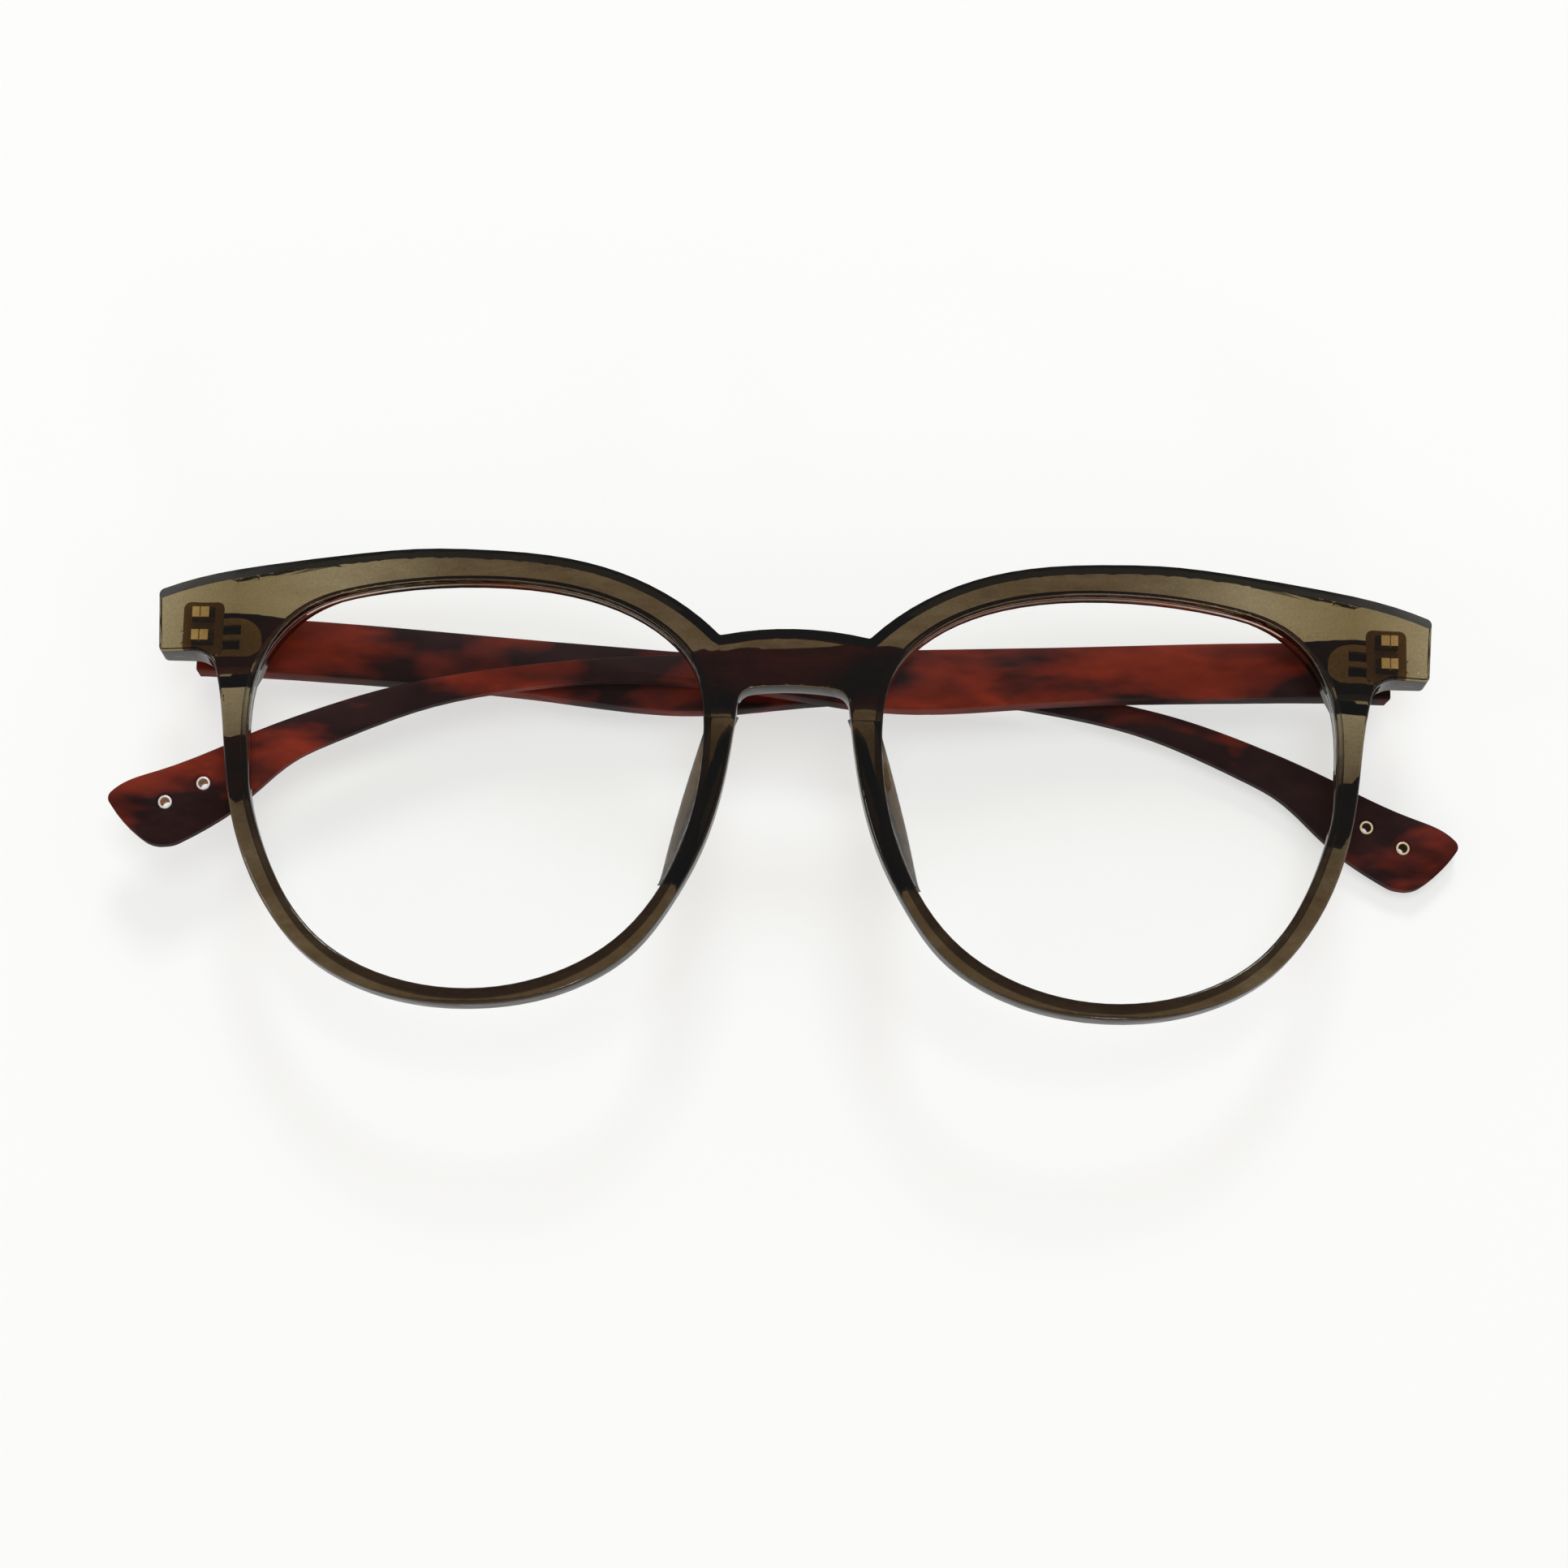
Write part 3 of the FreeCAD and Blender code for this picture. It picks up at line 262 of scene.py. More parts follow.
class GlassesStage(bpy.types.PropertyGroup):
    camera_elevation: bpy.props.FloatProperty(
        name="Camera Elevation", description="How high the camera looks down from",
        default=math.radians(77), subtype="ANGLE")
    camera_roll: bpy.props.FloatProperty(
        name="Camera Roll", description="How far the camera leans to its left",
        default=math.radians(1.4), subtype="ANGLE")
    camera_distance: bpy.props.FloatProperty(
        name="Camera Distance", description="Camera to the point that it looks at",
        default=0.445, unit="LENGTH")
    camera_aim: bpy.props.FloatVectorProperty(
        name="Camera Aim", description="The point that the camera looks at",
        default=(-0.00084, -0.00061, 0.0234), size=3, subtype="XYZ", unit="LENGTH")
    camera_lens: bpy.props.FloatProperty(
        name="Focal Length", description="Focal length of the camera's lens",
        default=92.24, subtype="DISTANCE_CAMERA")
    camera_sensor: bpy.props.FloatProperty(
        name="Sensor Width", description="Width of the camera's sensor in millimetres",
        default=36, subtype="DISTANCE_CAMERA")
    camera_near: bpy.props.FloatProperty(
        name="Nearest Distance", description="The camera sees nothing nearer than this",
        default=10 * MM, unit="LENGTH")
    table_size: bpy.props.FloatProperty(
        name="Table Size", description="Width of the table",
        default=6.0, unit="LENGTH")
    table_glow: bpy.props.FloatProperty(
        name="Table Glow", description="Share of the table's white that no shadow dims",
        default=0.6, min=0, max=1)
    table_mirrored: bpy.props.FloatProperty(
        name="Mirrored Table", description="How bright the table is in reflections",
        default=0.45, min=0, max=1)
    table_roughness: bpy.props.FloatProperty(
        name="Table Roughness", description="Roughness of the table",
        default=0.55, min=0, max=1, subtype="FACTOR")
    table_specular: bpy.props.FloatProperty(
        name="Table Specular", description="Strength of the table's own reflections",
        default=0.2, min=0, max=1, subtype="FACTOR")
    lamp_power: bpy.props.FloatProperty(
        name="Lamp Power", description="The power that each lamp takes its share of",
        default=16.8, unit="POWER")
    lamp_tint: bpy.props.FloatVectorProperty(
        name="Lamp Tint", description="Colour of the lamps' light",
        default=(0.96, 1.0, 1.0), size=3, min=0, max=1, subtype="COLOR")
    horizon_top: bpy.props.FloatProperty(
        name="Horizon Top", description="Where the white horizon ends, as a height on a unit dome",
        default=0.04, min=0, max=1)
    ceiling_start: bpy.props.FloatProperty(
        name="Ceiling Start", description="Where the dark ceiling starts, on the same dome",
        default=0.15, min=0, max=1)
    ceiling_level: bpy.props.FloatProperty(
        name="Ceiling Level", description="How bright the ceiling is in reflections",
        default=0.2, min=0)
    sky_level: bpy.props.FloatProperty(
        name="Sky Level", description="Strength of the even light from all round",
        default=0.4, min=0)
    sky_tint: bpy.props.FloatVectorProperty(
        name="Sky Tint", description="Colour of the even light from all round",
        default=(1.0, 0.945, 0.95), size=3, min=0, max=1, subtype="COLOR")


# Building blocks of the materials

FLOAT, COLOUR, VECTOR = "NodeSocketFloat", "NodeSocketColor", "NodeSocketVector"
SMOOTH = "SMOOTHSTEP"
# Light Path counts bounces in whole numbers, and this lies between none and one
ONE_BOUNCE = 0.5
# Nearly all values of a noise lie in the first range, and most of them in the second
NOISE_WIDE = (0.25, 0.75)
NOISE_NARROW = (0.3, 0.7)
# How a colour and a roughness are multiplied where tarnish is least and most
TARNISH_SHADE = (0.82, 1.08)
TARNISH_GLOSS = (0.7, 1.4)
# How far up a face of metal looks where it turns dull, and where an eyelet's rim begins
DULL_FROM = (0.4, 0.8)
RIM_FROM = 0.4


def new_material(name):
    material = bpy.data.materials.new(name)
    material.use_nodes = True
    tree = material.node_tree
    return material, tree, tree.nodes["Principled BSDF"]


def feed(tree, socket, value):
    # What goes into a socket is another node's output or a constant
    if isinstance(value, bpy.types.NodeSocket):
        tree.links.new(value, socket)
    else:
        socket.default_value = value


def add(tree, kind, **values):
    # A socket's name is written with _ for its spaces, and other names are the node's properties
    node = tree.nodes.new(kind)
    for name, value in values.items():
        socket = name.replace("_", " ")
        if socket in node.inputs.keys():
            feed(tree, node.inputs[socket], value)
        else:
            setattr(node, name, value)
    return node


def calculate(tree, operation, *values, clamp=False):
    node = add(tree, "ShaderNodeMath", operation=operation, use_clamp=clamp)
    for socket, value in zip(node.inputs, values):
        feed(tree, socket, value)
    return node.outputs[0]


def remap(tree, value, limits, levels=(0, 1), kind="LINEAR"):
    # Carries the limits over to the levels, and keeps to the levels outside them
    node = add(tree, "ShaderNodeMapRange", interpolation_type=kind, Value=value,
               From_Min=limits[0], From_Max=limits[1], To_Min=levels[0], To_Max=levels[1])
    return node.outputs["Result"]


def blend(tree, share, first, second, kind="RGBA"):
    node = add(tree, "ShaderNodeMix", data_type=kind, Factor=share, A=first, B=second)
    return node.outputs["Result"]


def noise(tree, place, scale, **values):
    return add(tree, "ShaderNodeTexNoise", Vector=place, Scale=scale, **values).outputs["Fac"]


def split(tree, vector):
    return add(tree, "ShaderNodeSeparateXYZ", Vector=vector).outputs


def object_place(tree):
    return add(tree, "ShaderNodeTexCoord").outputs["Object"]


def facing(tree):
    # Where a face looks: its Z is 1 for straight up and -1 for straight down
    return split(tree, add(tree, "ShaderNodeNewGeometry").outputs["True Normal"])


def emboss(tree, surface, height, strength, depth):
    bump = add(tree, "ShaderNodeBump", Strength=strength, Distance=depth, Height=height)
    tree.links.new(bump.outputs["Normal"], surface.inputs["Normal"])


def mix_shaders(tree, share, first, second):
    mix = add(tree, "ShaderNodeMixShader", Fac=share)
    tree.links.new(first, mix.inputs[1])
    tree.links.new(second, mix.inputs[2])
    return mix.outputs[0]


def let_light_through(tree, surface, tint):
    # The table's light crosses the piece straight, so that its shadow is tinted, not black
    path = add(tree, "ShaderNodeLightPath").outputs
    lighting = calculate(tree, "MAXIMUM", path["Is Shadow Ray"], path["Is Diffuse Ray"])
    clear = add(tree, "ShaderNodeBsdfTransparent", Color=(*tint, 1))
    shader = mix_shaders(tree, lighting, surface.outputs[0], clear.outputs[0])
    tree.links.new(shader, tree.nodes["Material Output"].inputs["Surface"])


def new_group(name, inputs, outputs):
    group = bpy.data.node_groups.new(name, "ShaderNodeTree")
    for in_out, sockets in (("INPUT", inputs), ("OUTPUT", outputs)):
        for socket, kind in sockets.items():
            group.interface.new_socket(name=socket, in_out=in_out, socket_type=kind)
    return group, add(group, "NodeGroupInput").outputs, add(group, "NodeGroupOutput").inputs


def mottling():
    # Noise that makes a colour darker and lighter: the front's flecks and the temples' clouds
    if "mottling" in bpy.data.node_groups:
        return bpy.data.node_groups["mottling"]
    group, given, made = new_group(
        "mottling",
        {"Vector": VECTOR, "Colour": COLOUR, "Scale": FLOAT, "Detail": FLOAT,
         "Roughness": FLOAT, "Darkest": FLOAT, "Lightest": FLOAT},
        {"Colour": COLOUR})
    pattern = noise(group, given["Vector"], given["Scale"], Detail=given["Detail"],
                    Roughness=given["Roughness"])
    level = remap(group, pattern, NOISE_NARROW, (given["Darkest"], given["Lightest"]))
    shade = add(group, "ShaderNodeVectorMath", operation="SCALE", Vector=given["Colour"],
                Scale=level)
    group.links.new(shade.outputs["Vector"], made["Colour"])
    return group


def mottled(tree, place, colour, scale, pattern):
    node = add(tree, "ShaderNodeGroup", node_tree=mottling(), Vector=place, Colour=colour,
               Scale=scale, **pattern)
    return node.outputs["Colour"]


def metal_wear():
    # Fine tarnish makes a metal's colour and gloss uneven. Faces that look up are the ones set
    # against the front's plastic, and are hardly metallic, so that they show pale through it
    if "metal_wear" in bpy.data.node_groups:
        return bpy.data.node_groups["metal_wear"]
    group, given, made = new_group(
        "metal_wear",
        {"Vector": VECTOR, "Scale": FLOAT, "Colour": COLOUR, "Roughness": FLOAT,
         "Side Metallic": FLOAT, "Top Metallic": FLOAT},
        {"Colour": COLOUR, "Roughness": FLOAT, "Metallic": FLOAT})
    tarnish = noise(group, given["Vector"], given["Scale"], Detail=3)
    gloss = remap(group, tarnish, (0, 1), TARNISH_GLOSS)
    uneven = calculate(group, "MULTIPLY", gloss, given["Roughness"])
    group.links.new(uneven, made["Roughness"])
    shade = add(group, "ShaderNodeVectorMath", operation="SCALE", Vector=given["Colour"],
                Scale=remap(group, tarnish, (0, 1), TARNISH_SHADE))
    group.links.new(shade.outputs["Vector"], made["Colour"])
    shine = remap(group, facing(group)["Z"], DULL_FROM,
                  (given["Side Metallic"], given["Top Metallic"]), SMOOTH)
    group.links.new(shine, made["Metallic"])
    return group


def eyelet_rim_and_bore_shade():
    # The walls of an eyelet's bore are duller than its flanged rim, and darker and browner with
    # painted shade inside the hole
    if "eyelet_rim_and_bore_shade" in bpy.data.node_groups:
        return bpy.data.node_groups["eyelet_rim_and_bore_shade"]
    group, given, made = new_group(
        "eyelet_rim_and_bore_shade",
        {"Rim Colour": COLOUR, "Rim Roughness": FLOAT, "Rim Metallic": FLOAT,
         "Bore Colour": COLOUR, "Bore Roughness": FLOAT},
        {"Colour": COLOUR, "Roughness": FLOAT, "Metallic": FLOAT})
    level = calculate(group, "ABSOLUTE", facing(group)["Z"])
    rim = calculate(group, "GREATER_THAN", level, RIM_FROM)
    colour = blend(group, rim, given["Bore Colour"], given["Rim Colour"])
    roughness = blend(group, rim, given["Bore Roughness"], given["Rim Roughness"], "FLOAT")
    metallic = calculate(group, "MULTIPLY", rim, given["Rim Metallic"])
    group.links.new(colour, made["Colour"])
    group.links.new(roughness, made["Roughness"])
    group.links.new(metallic, made["Metallic"])
    return group


# Materials

# How far up a face of the front looks where its painted dark reflection and painted shade change: 1
# is straight up
BEVEL_FROM = (0.72, 0.76)
BEVEL_TO = (0.94, 0.91)
EDGE_TO = (0.25, 0.6)
# A mould mark's edge is soft between these shares of its radius
MARK_SHARES = (0.92, 1.08)
FLECKS = {"Detail": 1, "Roughness": 0.5, "Darkest": 0.84, "Lightest": 1.08}
CLOUDS = {"Detail": 4, "Roughness": 0.6, "Darkest": 0.55, "Lightest": 1.2}
METAL_SOCKETS = {"Colour": "Base Color", "Roughness": "Roughness", "Metallic": "Metallic"}


def olive_plastic(colours, finish, sizes):
    material, tree, surface = new_material("olive_plastic")
    place = object_place(tree)
    spot = split(tree, place)
    aside = calculate(tree, "ABSOLUTE", spot["X"])
    upright = facing(tree)["Z"]
    black = (*colours.olive_painted_black, 1)

    # Painted shade: darker towards the nose and along the bottom, paler towards the temples
    shade_range = (finish.least_unshaded, 1)
    outwards = remap(tree, aside, sizes.painted_shade_side, shade_range, SMOOTH)
    upwards = remap(tree, spot["Y"], sizes.painted_shade_top, shade_range, SMOOTH)
    pale = calculate(tree, "MULTIPLY", outwards, upwards)

    # Flow marks of the moulding, drawn out along the brow
    drawn = add(tree, "ShaderNodeMapping", Vector=place, Scale=(finish.flow_stretch, 1, 1))
    marks = noise(tree, drawn.outputs["Vector"], finish.flow_scale, Detail=7, Roughness=0.65)
    sway = remap(tree, marks, NOISE_WIDE, (-finish.flow_sway, finish.flow_sway))
    swayed = calculate(tree, "ADD", pale, sway, clamp=True)
    colour = blend(tree, swayed, (*colours.olive_painted_shade, 1), (*colours.olive_pale, 1))

    # Painted dark reflection: the bevel along the brow is tinted nearly black
    bevel = 1
    for value, limits in ((upright, BEVEL_FROM), (upright, BEVEL_TO),
                          (spot["Y"], sizes.brow_start)):
        bevel = calculate(tree, "MULTIPLY", bevel, remap(tree, value, limits, kind=SMOOTH))
    colour = blend(tree, bevel, colour, black)

    # Painted shade: its steep edges are tinted darker than its broad faces. Fine flecks are all
    # through it
    steep = calculate(tree, "ABSOLUTE", upright)
    edges = remap(tree, steep, EDGE_TO, (finish.edge_painted_shade, 0), SMOOTH)
    colour = blend(tree, edges, colour, black)
    flecked = mottled(tree, place, colour, finish.fleck_scale, FLECKS)
    tree.links.new(flecked, surface.inputs["Base Color"])

    # Round mould marks by the hinges, and a faint unevenness all over
    folded = add(tree, "ShaderNodeCombineXYZ", X=aside, Y=spot["Y"])
    away = add(tree, "ShaderNodeVectorMath", operation="DISTANCE", Vector=folded.outputs[0])
    away.inputs[1].default_value = sizes.ejector_place
    limits = [sizes.ejector_radius * share for share in MARK_SHARES]
    ring = remap(tree, away.outputs["Value"], limits, kind=SMOOTH)
    swell = noise(tree, place, finish.swell_scale, Detail=1)
    relief = calculate(tree, "ADD", ring, swell)
    emboss(tree, surface, relief, finish.relief_strength, sizes.relief_depth)

    surface.inputs["Roughness"].default_value = finish.olive_roughness
    surface.inputs["IOR"].default_value = finish.olive_ior
    surface.inputs["Transmission Weight"].default_value = 1
    haze = add(tree, "ShaderNodeVolumeAbsorption", Color=(*colours.olive, 1),
               Density=colours.olive_density)
    tree.links.new(haze.outputs[0], tree.nodes["Material Output"].inputs["Volume"])
    let_light_through(tree, surface, colours.olive_shadow)
    return material


def lens_plastic(colours, finish):
    material, tree, surface = new_material("lens")
    surface.inputs["Base Color"].default_value = (*colours.lens, 1)
    surface.inputs["Roughness"].default_value = 0
    surface.inputs["IOR"].default_value = finish.lens_ior
    surface.inputs["Transmission Weight"].default_value = 1
    let_light_through(tree, surface, colours.lens_shadow)
    return material


def mottled_red(colours, finish, sizes):
    material, tree, surface = new_material("red_plastic")
    place = object_place(tree)
    slant = add(tree, "ShaderNodeMapping", Vector=place, Location=finish.patch_shift,
                Rotation=(0, 0, finish.patch_slant), Scale=finish.patch_stretch)
    slanted = slant.outputs["Vector"]
    patches = noise(tree, slanted, finish.patch_scale, Detail=3, Roughness=0.5, Distortion=0.35)
    ramp = add(tree, "ShaderNodeValToRGB", Fac=patches)
    for stop, limit, colour in zip(ramp.color_ramp.elements, finish.patch_limits,
                                   (colours.red_black, colours.red)):
        stop.position = limit
        stop.color = (*colour, 1)

    # Clouds of a browner red inside the red patches
    clouded = mottled(tree, slanted, ramp.outputs["Color"], finish.cloud_scale, CLOUDS)
    tree.links.new(clouded, surface.inputs["Base Color"])
    grain = noise(tree, place, finish.grain_scale, Detail=2)
    emboss(tree, surface, grain, finish.grain_strength, sizes.grain_depth)
    surface.inputs["Roughness"].default_value = finish.red_roughness
    surface.inputs["Specular IOR Level"].default_value = finish.red_specular
    return material


def worn(tree, colour, roughness, finish):
    wear = add(tree, "ShaderNodeGroup", node_tree=metal_wear(), Vector=object_place(tree),
               Scale=finish.tarnish_scale, Colour=(*colour, 1), Roughness=roughness,
               Side_Metallic=finish.side_metallic, Top_Metallic=finish.top_metallic)
    return wear.outputs


def metal(name, colour, roughness, finish):
    material, tree, surface = new_material(name)
    wear = worn(tree, colour, roughness, finish)
    for output, socket in METAL_SOCKETS.items():
        tree.links.new(wear[output], surface.inputs[socket])
    return material


def eyelet_metal(name, colour, bore, finish):
    material, tree, surface = new_material(name)
    wear = worn(tree, colour, finish.eyelet_roughness, finish)
    # The bore takes the painted shade and the rim takes the worn metal
    lining = add(tree, "ShaderNodeGroup", node_tree=eyelet_rim_and_bore_shade(),
                 Rim_Colour=wear["Colour"], Rim_Roughness=wear["Roughness"],
                 Rim_Metallic=finish.eyelet_metallic, Bore_Colour=(*bore, 1),
                 Bore_Roughness=finish.bore_roughness)
    for output, socket in METAL_SOCKETS.items():
        tree.links.new(lining.outputs[output], surface.inputs[socket])
    surface.inputs["Specular IOR Level"].default_value = finish.eyelet_specular
    return material


# Pieces

def round_tip(shape, sizes):
    # The lowest corner is drawn in to a wider arc: cuts fan out from the arc's middle, and
    # what lies in the fan moves towards it
    lean = math.cos(sizes.tip_slope)
    lowest = min(shape.verts, key=lambda point: point.co.y).co
    apex = lowest.y - sizes.tip_cut_radius * (1 / lean - 1)
    middle = Vector((lowest.x, apex + sizes.tip_radius / lean, 0))
    for step in range(-sizes.tip_cuts, sizes.tip_cuts + 1):
        angle = sizes.tip_slope * step / sizes.tip_cuts
        bmesh.ops.bisect_plane(shape, geom=shape.verts[:] + shape.edges[:] + shape.faces[:],
                               dist=sizes.merge_distance, plane_co=middle,
                               plane_no=(math.cos(angle), math.sin(angle), 0))
    # The solid's own small arc ends at this angle from straight down, seen from that middle
    old_middle = (sizes.tip_radius - sizes.tip_cut_radius) / lean
    old_arc = math.atan2(sizes.tip_cut_radius * math.sin(sizes.tip_slope),
                         old_middle + sizes.tip_cut_radius * lean)
    for point in shape.verts:
        reach = Vector((point.co.x - middle.x, point.co.y - middle.y, 0))
        angle = abs(math.atan2(reach.x, -reach.y))
        if angle >= sizes.tip_slope:
            continue
        edge = sizes.tip_radius / math.cos(sizes.tip_slope - angle)
        if angle < old_arc:
            across = old_middle * math.sin(angle)
            along = math.sqrt(sizes.tip_cut_radius ** 2 - across ** 2)
            edge = old_middle * math.cos(angle) + along
        point.co -= reach * (1 - sizes.tip_radius / edge)


def dress(node, material, sizes, reshape=None):
    # A merged, smoothly shaded copy of the CAD solid stands for it
    mesh = bpy.data.meshes.new(f"{node}_skin")
    shape = bmesh.new()
    shape.from_mesh(frame["nodes"][node].data)
    bmesh.ops.remove_doubles(shape, verts=shape.verts, dist=sizes.merge_distance)
    if reshape:
        reshape(shape, sizes)
    for face in shape.faces:
        face.smooth = True
    for edge in shape.edges:
        joined = len(edge.link_faces) == 2
        edge.smooth = joined and edge.calc_face_angle(0) < sizes.crease_angle
    shape.to_mesh(mesh)
    shape.free()
    piece = bpy.data.objects.new(f"{node}_skin", mesh)
    bpy.context.scene.collection.objects.link(piece)
    mesh.materials.append(material)
    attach(piece, BODIES[node])
    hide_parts(node)


# Operators

class GLASSES_OT_front(bpy.types.Operator):
    """Make the moulded front with its nose pads"""
    bl_idname = "glasses.front"
    bl_label = "Front"

    def execute(self, context):
        scene = context.scene
        sizes = scene.glasses_sizes
        olive = olive_plastic(scene.glasses_colours, scene.glasses_finish, sizes)
        dress("front_frame", olive, sizes)
        return {"FINISHED"}


class GLASSES_OT_lenses(bpy.types.Operator):
    """Make the two clear lenses"""
    bl_idname = "glasses.lenses"
    bl_label = "Lenses"

    def execute(self, context):
        scene = context.scene
        clear = lens_plastic(scene.glasses_colours, scene.glasses_finish)
        for side in SIDES:
            dress(f"lens_{side}", clear, scene.glasses_sizes)
        return {"FINISHED"}


class GLASSES_OT_temples(bpy.types.Operator):
    """Make the two folded temples"""
    bl_idname = "glasses.temples"
    bl_label = "Temples"

    def execute(self, context):
        scene = context.scene
        sizes = scene.glasses_sizes
        red = mottled_red(scene.glasses_colours, scene.glasses_finish, sizes)
        for side in SIDES:
            dress(f"temple_{side}", red, sizes, round_tip)
        return {"FINISHED"}


class GLASSES_OT_hinges(bpy.types.Operator):
    """Make the hinge leaves and their screws"""
    bl_idname = "glasses.hinges"
    bl_label = "Hinges"

    def execute(self, context):
        scene = context.scene
        finish = scene.glasses_finish
        gold = scene.glasses_colours.gold
        brass = metal("brass", gold, finish.brass_roughness, finish)
        screw = metal("screw", gold, finish.screw_roughness, finish)
        for side in SIDES:
            dress(f"front_hinge_{side}", brass, scene.glasses_sizes)
            dress(f"temple_hinge_{side}", brass, scene.glasses_sizes)
            dress(f"hinge_screw_{side}", screw, scene.glasses_sizes)
        return {"FINISHED"}


class GLASSES_OT_eyelets(bpy.types.Operator):
    """Make the metal eyelets at the temple tips"""
    bl_idname = "glasses.eyelets"
    bl_label = "Eyelets"

    def execute(self, context):
        scene = context.scene
        finish = scene.glasses_finish
        colours = scene.glasses_colours
        golden = eyelet_metal("gold_eyelet", colours.gold_ring, colours.gold_bore_shade, finish)
        silvery = eyelet_metal("steel_eyelet", colours.steel, colours.steel_bore_shade, finish)
        for side, material in zip(SIDES, (golden, silvery)):
            for place in ("upper", "lower"):
                dress(f"eyelet_{side}_{place}", material, scene.glasses_sizes)
        return {"FINISHED"}


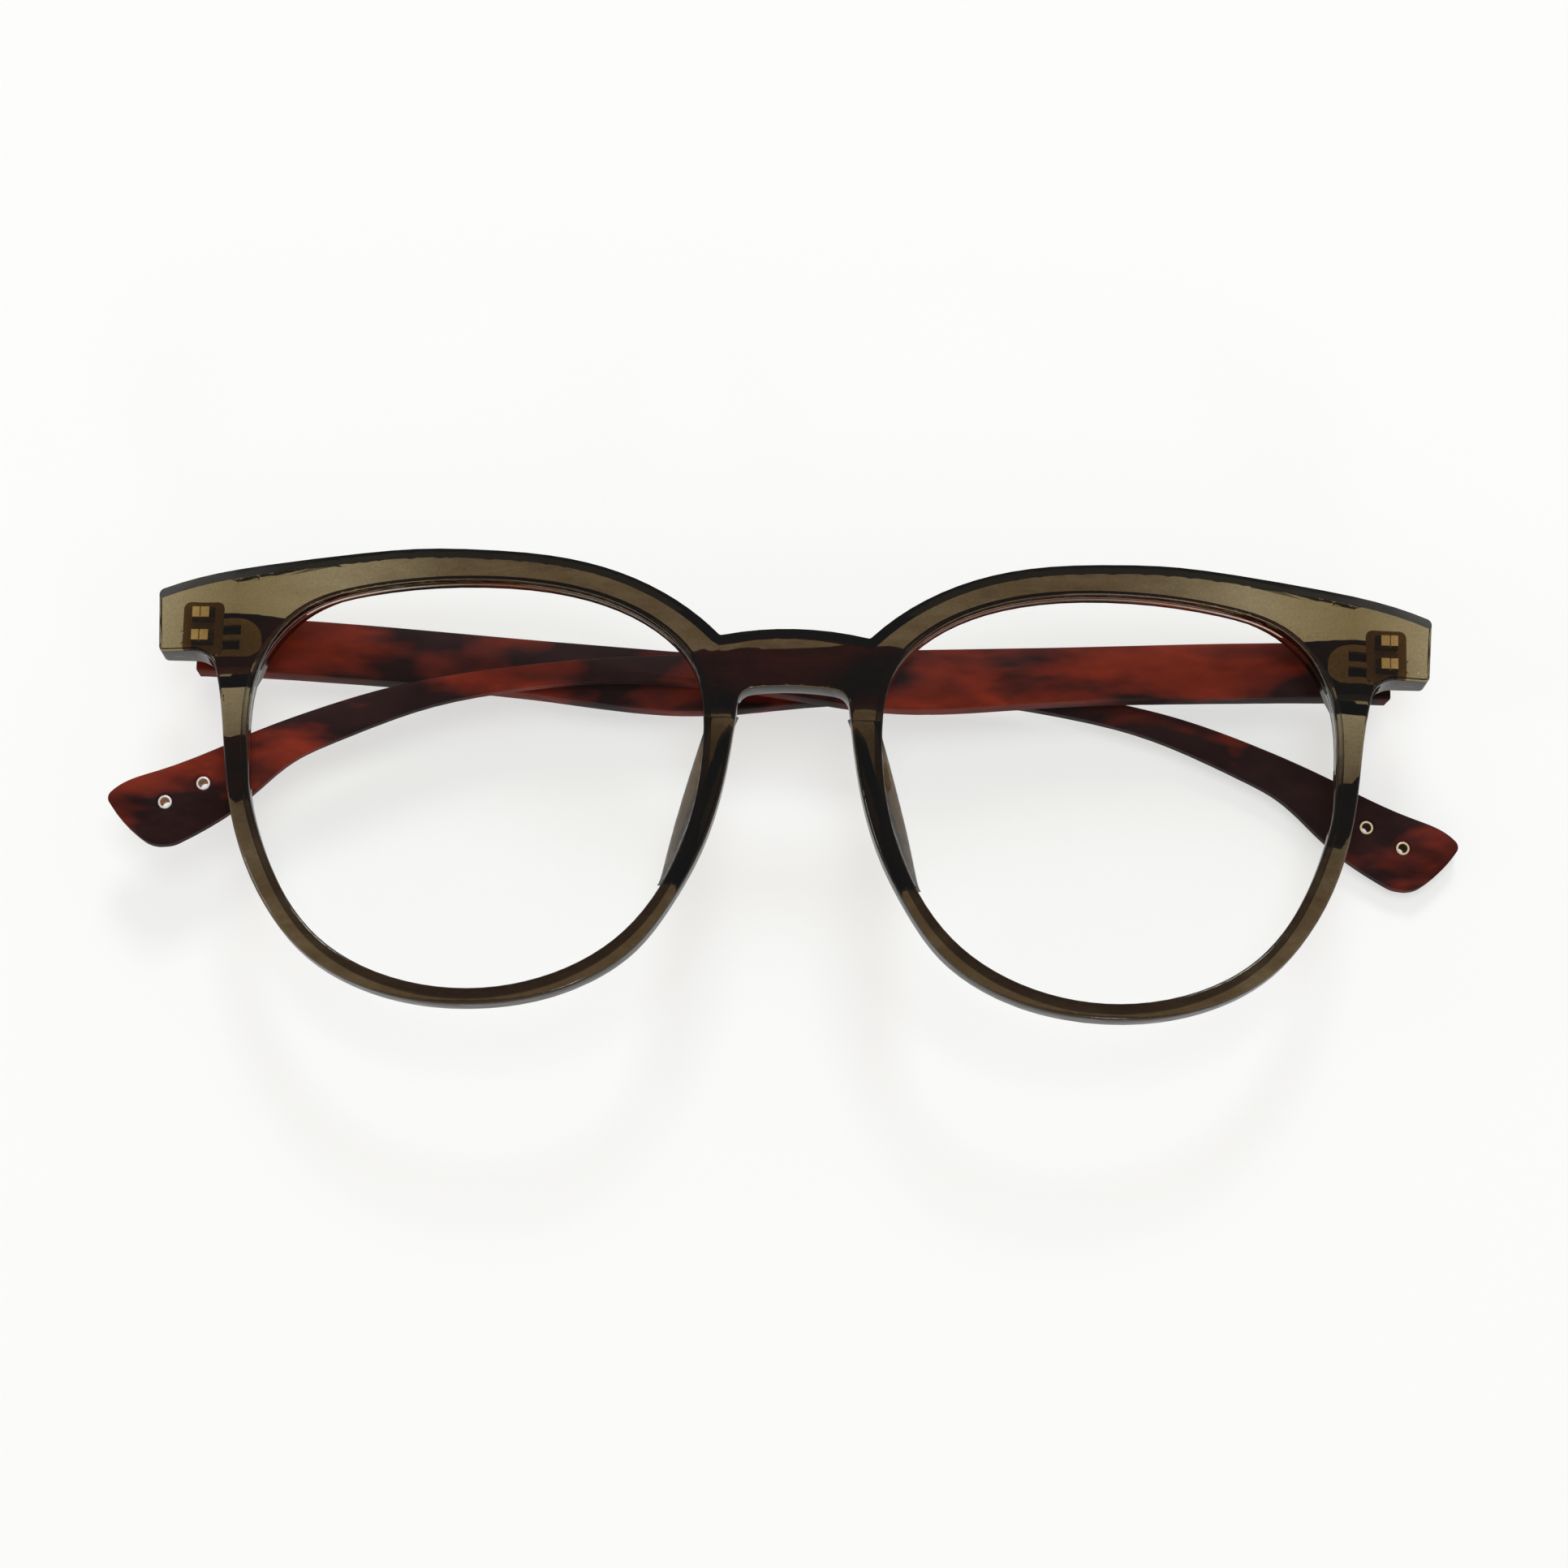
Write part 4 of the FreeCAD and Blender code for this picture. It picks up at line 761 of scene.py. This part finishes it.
class GLASSES_OT_stage(bpy.types.Operator):
    """Set up the table, the camera and the soft light"""
    bl_idname = "glasses.stage"
    bl_label = "Stage"

    def execute(self, context):
        scene = context.scene
        stage = scene.glasses_stage
        self.lay_table(scene, stage)
        self.place_camera(scene, stage)
        self.hang_lamps(scene, stage)
        self.light_sky(scene, stage)
        scene.view_settings.view_transform = "Standard"
        return {"FINISHED"}

    def lay_table(self, scene, stage):
        mesh = bpy.data.meshes.new("table")
        shape = bmesh.new()
        bmesh.ops.create_grid(shape, x_segments=1, y_segments=1, size=stage.table_size / 2)
        shape.to_mesh(mesh)
        shape.free()
        table = bpy.data.objects.new("table", mesh)
        scene.collection.objects.link(table)
        white = (*scene.glasses_colours.table, 1)
        material, tree, surface = new_material("table_top")
        surface.inputs["Base Color"].default_value = white
        surface.inputs["Roughness"].default_value = stage.table_roughness
        surface.inputs["Specular IOR Level"].default_value = stage.table_specular
        path = add(tree, "ShaderNodeLightPath").outputs
        # Seen directly, part of its white is its own, so that shadows on it stay pale
        glow = add(tree, "ShaderNodeEmission", Color=white)
        direct = calculate(tree, "LESS_THAN", path["Diffuse Depth"], ONE_BOUNCE)
        share = calculate(tree, "MULTIPLY", direct, stage.table_glow)
        lit = mix_shaders(tree, share, surface.outputs[0], glow.outputs[0])
        # In reflections it is dimmer, as it is close under the glasses
        dim = add(tree, "ShaderNodeEmission", Color=white, Strength=stage.table_mirrored)
        mirrored = calculate(tree, "GREATER_THAN", path["Glossy Depth"], ONE_BOUNCE)
        shader = mix_shaders(tree, mirrored, lit, dim.outputs[0])
        tree.links.new(shader, tree.nodes["Material Output"].inputs["Surface"])
        mesh.materials.append(material)

    def place_camera(self, scene, stage):
        camera = bpy.data.objects.new("camera", bpy.data.cameras.new("camera"))
        scene.collection.objects.link(camera)
        aim = Vector(stage.camera_aim)
        back = Vector((0, -math.cos(stage.camera_elevation), math.sin(stage.camera_elevation)))
        turn = back.to_track_quat("Z", "Y").to_matrix().to_4x4()
        roll = Matrix.Rotation(stage.camera_roll, 4, "Z")
        camera.matrix_world = Matrix.Translation(aim + back * stage.camera_distance) @ turn @ roll
        camera.data.sensor_width = stage.camera_sensor
        camera.data.lens = stage.camera_lens
        camera.data.clip_start = stage.camera_near
        scene.camera = camera

    def hang_lamps(self, scene, stage):
        for name, (place, width, share) in LAMPS.items():
            data = bpy.data.lights.new(name, "AREA")
            data.size = width
            data.energy = stage.lamp_power * share
            data.color = stage.lamp_tint
            lamp = bpy.data.objects.new(name, data)
            scene.collection.objects.link(lamp)
            lamp.location = place
            # Mirrored, the lamp overhead would whiten every face that looks up
            lamp.visible_glossy = name != "overhead"
            lamp.visible_transmission = False
            lamp.rotation_euler = Vector(place).to_track_quat("Z", "Y").to_euler()

    def light_sky(self, scene, stage):
        world = bpy.data.worlds.new("sky")
        world.use_nodes = True
        tree = world.node_tree
        soft = tree.nodes["Background"]
        soft.inputs["Color"].default_value = (*stage.sky_tint, 1)
        soft.inputs["Strength"].default_value = stage.sky_level
        path = add(tree, "ShaderNodeLightPath").outputs
        # Straight through glass the room is white, in reflections its ceiling is dark
        height = split(tree, add(tree, "ShaderNodeTexCoord").outputs["Generated"])["Z"]
        ceiling = remap(tree, height, (stage.horizon_top, stage.ceiling_start),
                        (1, stage.ceiling_level))
        straight = calculate(tree, "LESS_THAN", path["Glossy Depth"], ONE_BOUNCE)
        level = calculate(tree, "MAXIMUM", straight, ceiling)
        seen = add(tree, "ShaderNodeBackground", Color=(1, 1, 1, 1), Strength=level)
        # Lit by it, a surface gets the soft light instead
        direct = calculate(tree, "LESS_THAN", path["Diffuse Depth"], ONE_BOUNCE)
        shader = mix_shaders(tree, direct, soft.outputs[0], seen.outputs[0])
        tree.links.new(shader, tree.nodes["World Output"].inputs["Surface"])
        scene.world = world


# Panel and registration

class GLASSES_PT_panel(bpy.types.Panel):
    """The glasses' pieces and their settings"""
    bl_idname = "GLASSES_PT_panel"
    bl_label = "Glasses"
    bl_space_type = "VIEW_3D"
    bl_region_type = "UI"
    bl_category = "Glasses"

    def draw(self, context):
        for name, group in SETTINGS.items():
            box = self.layout.box()
            for setting in group.__annotations__:
                box.prop(getattr(context.scene, name), setting)
        for operator in OPERATORS:
            self.layout.operator(operator.bl_idname)


OPERATORS = (GLASSES_OT_front, GLASSES_OT_lenses, GLASSES_OT_temples, GLASSES_OT_hinges,
             GLASSES_OT_eyelets, GLASSES_OT_stage)
SETTINGS = {"glasses_sizes": GlassesSizes, "glasses_colours": GlassesColours,
            "glasses_finish": GlassesFinish, "glasses_stage": GlassesStage}


def register():
    for group in (*SETTINGS.values(), *OPERATORS, GLASSES_PT_panel):
        bpy.utils.register_class(group)
    for name, group in SETTINGS.items():
        setattr(bpy.types.Scene, name, bpy.props.PointerProperty(type=group))


def unregister():
    for name in SETTINGS:
        delattr(bpy.types.Scene, name)
    for group in reversed((*SETTINGS.values(), *OPERATORS, GLASSES_PT_panel)):
        bpy.utils.unregister_class(group)


def main():
    register()
    for operator in OPERATORS:
        group, name = operator.bl_idname.split(".")
        getattr(getattr(bpy.ops, group), name)()


if __name__ == "__main__":
    main()
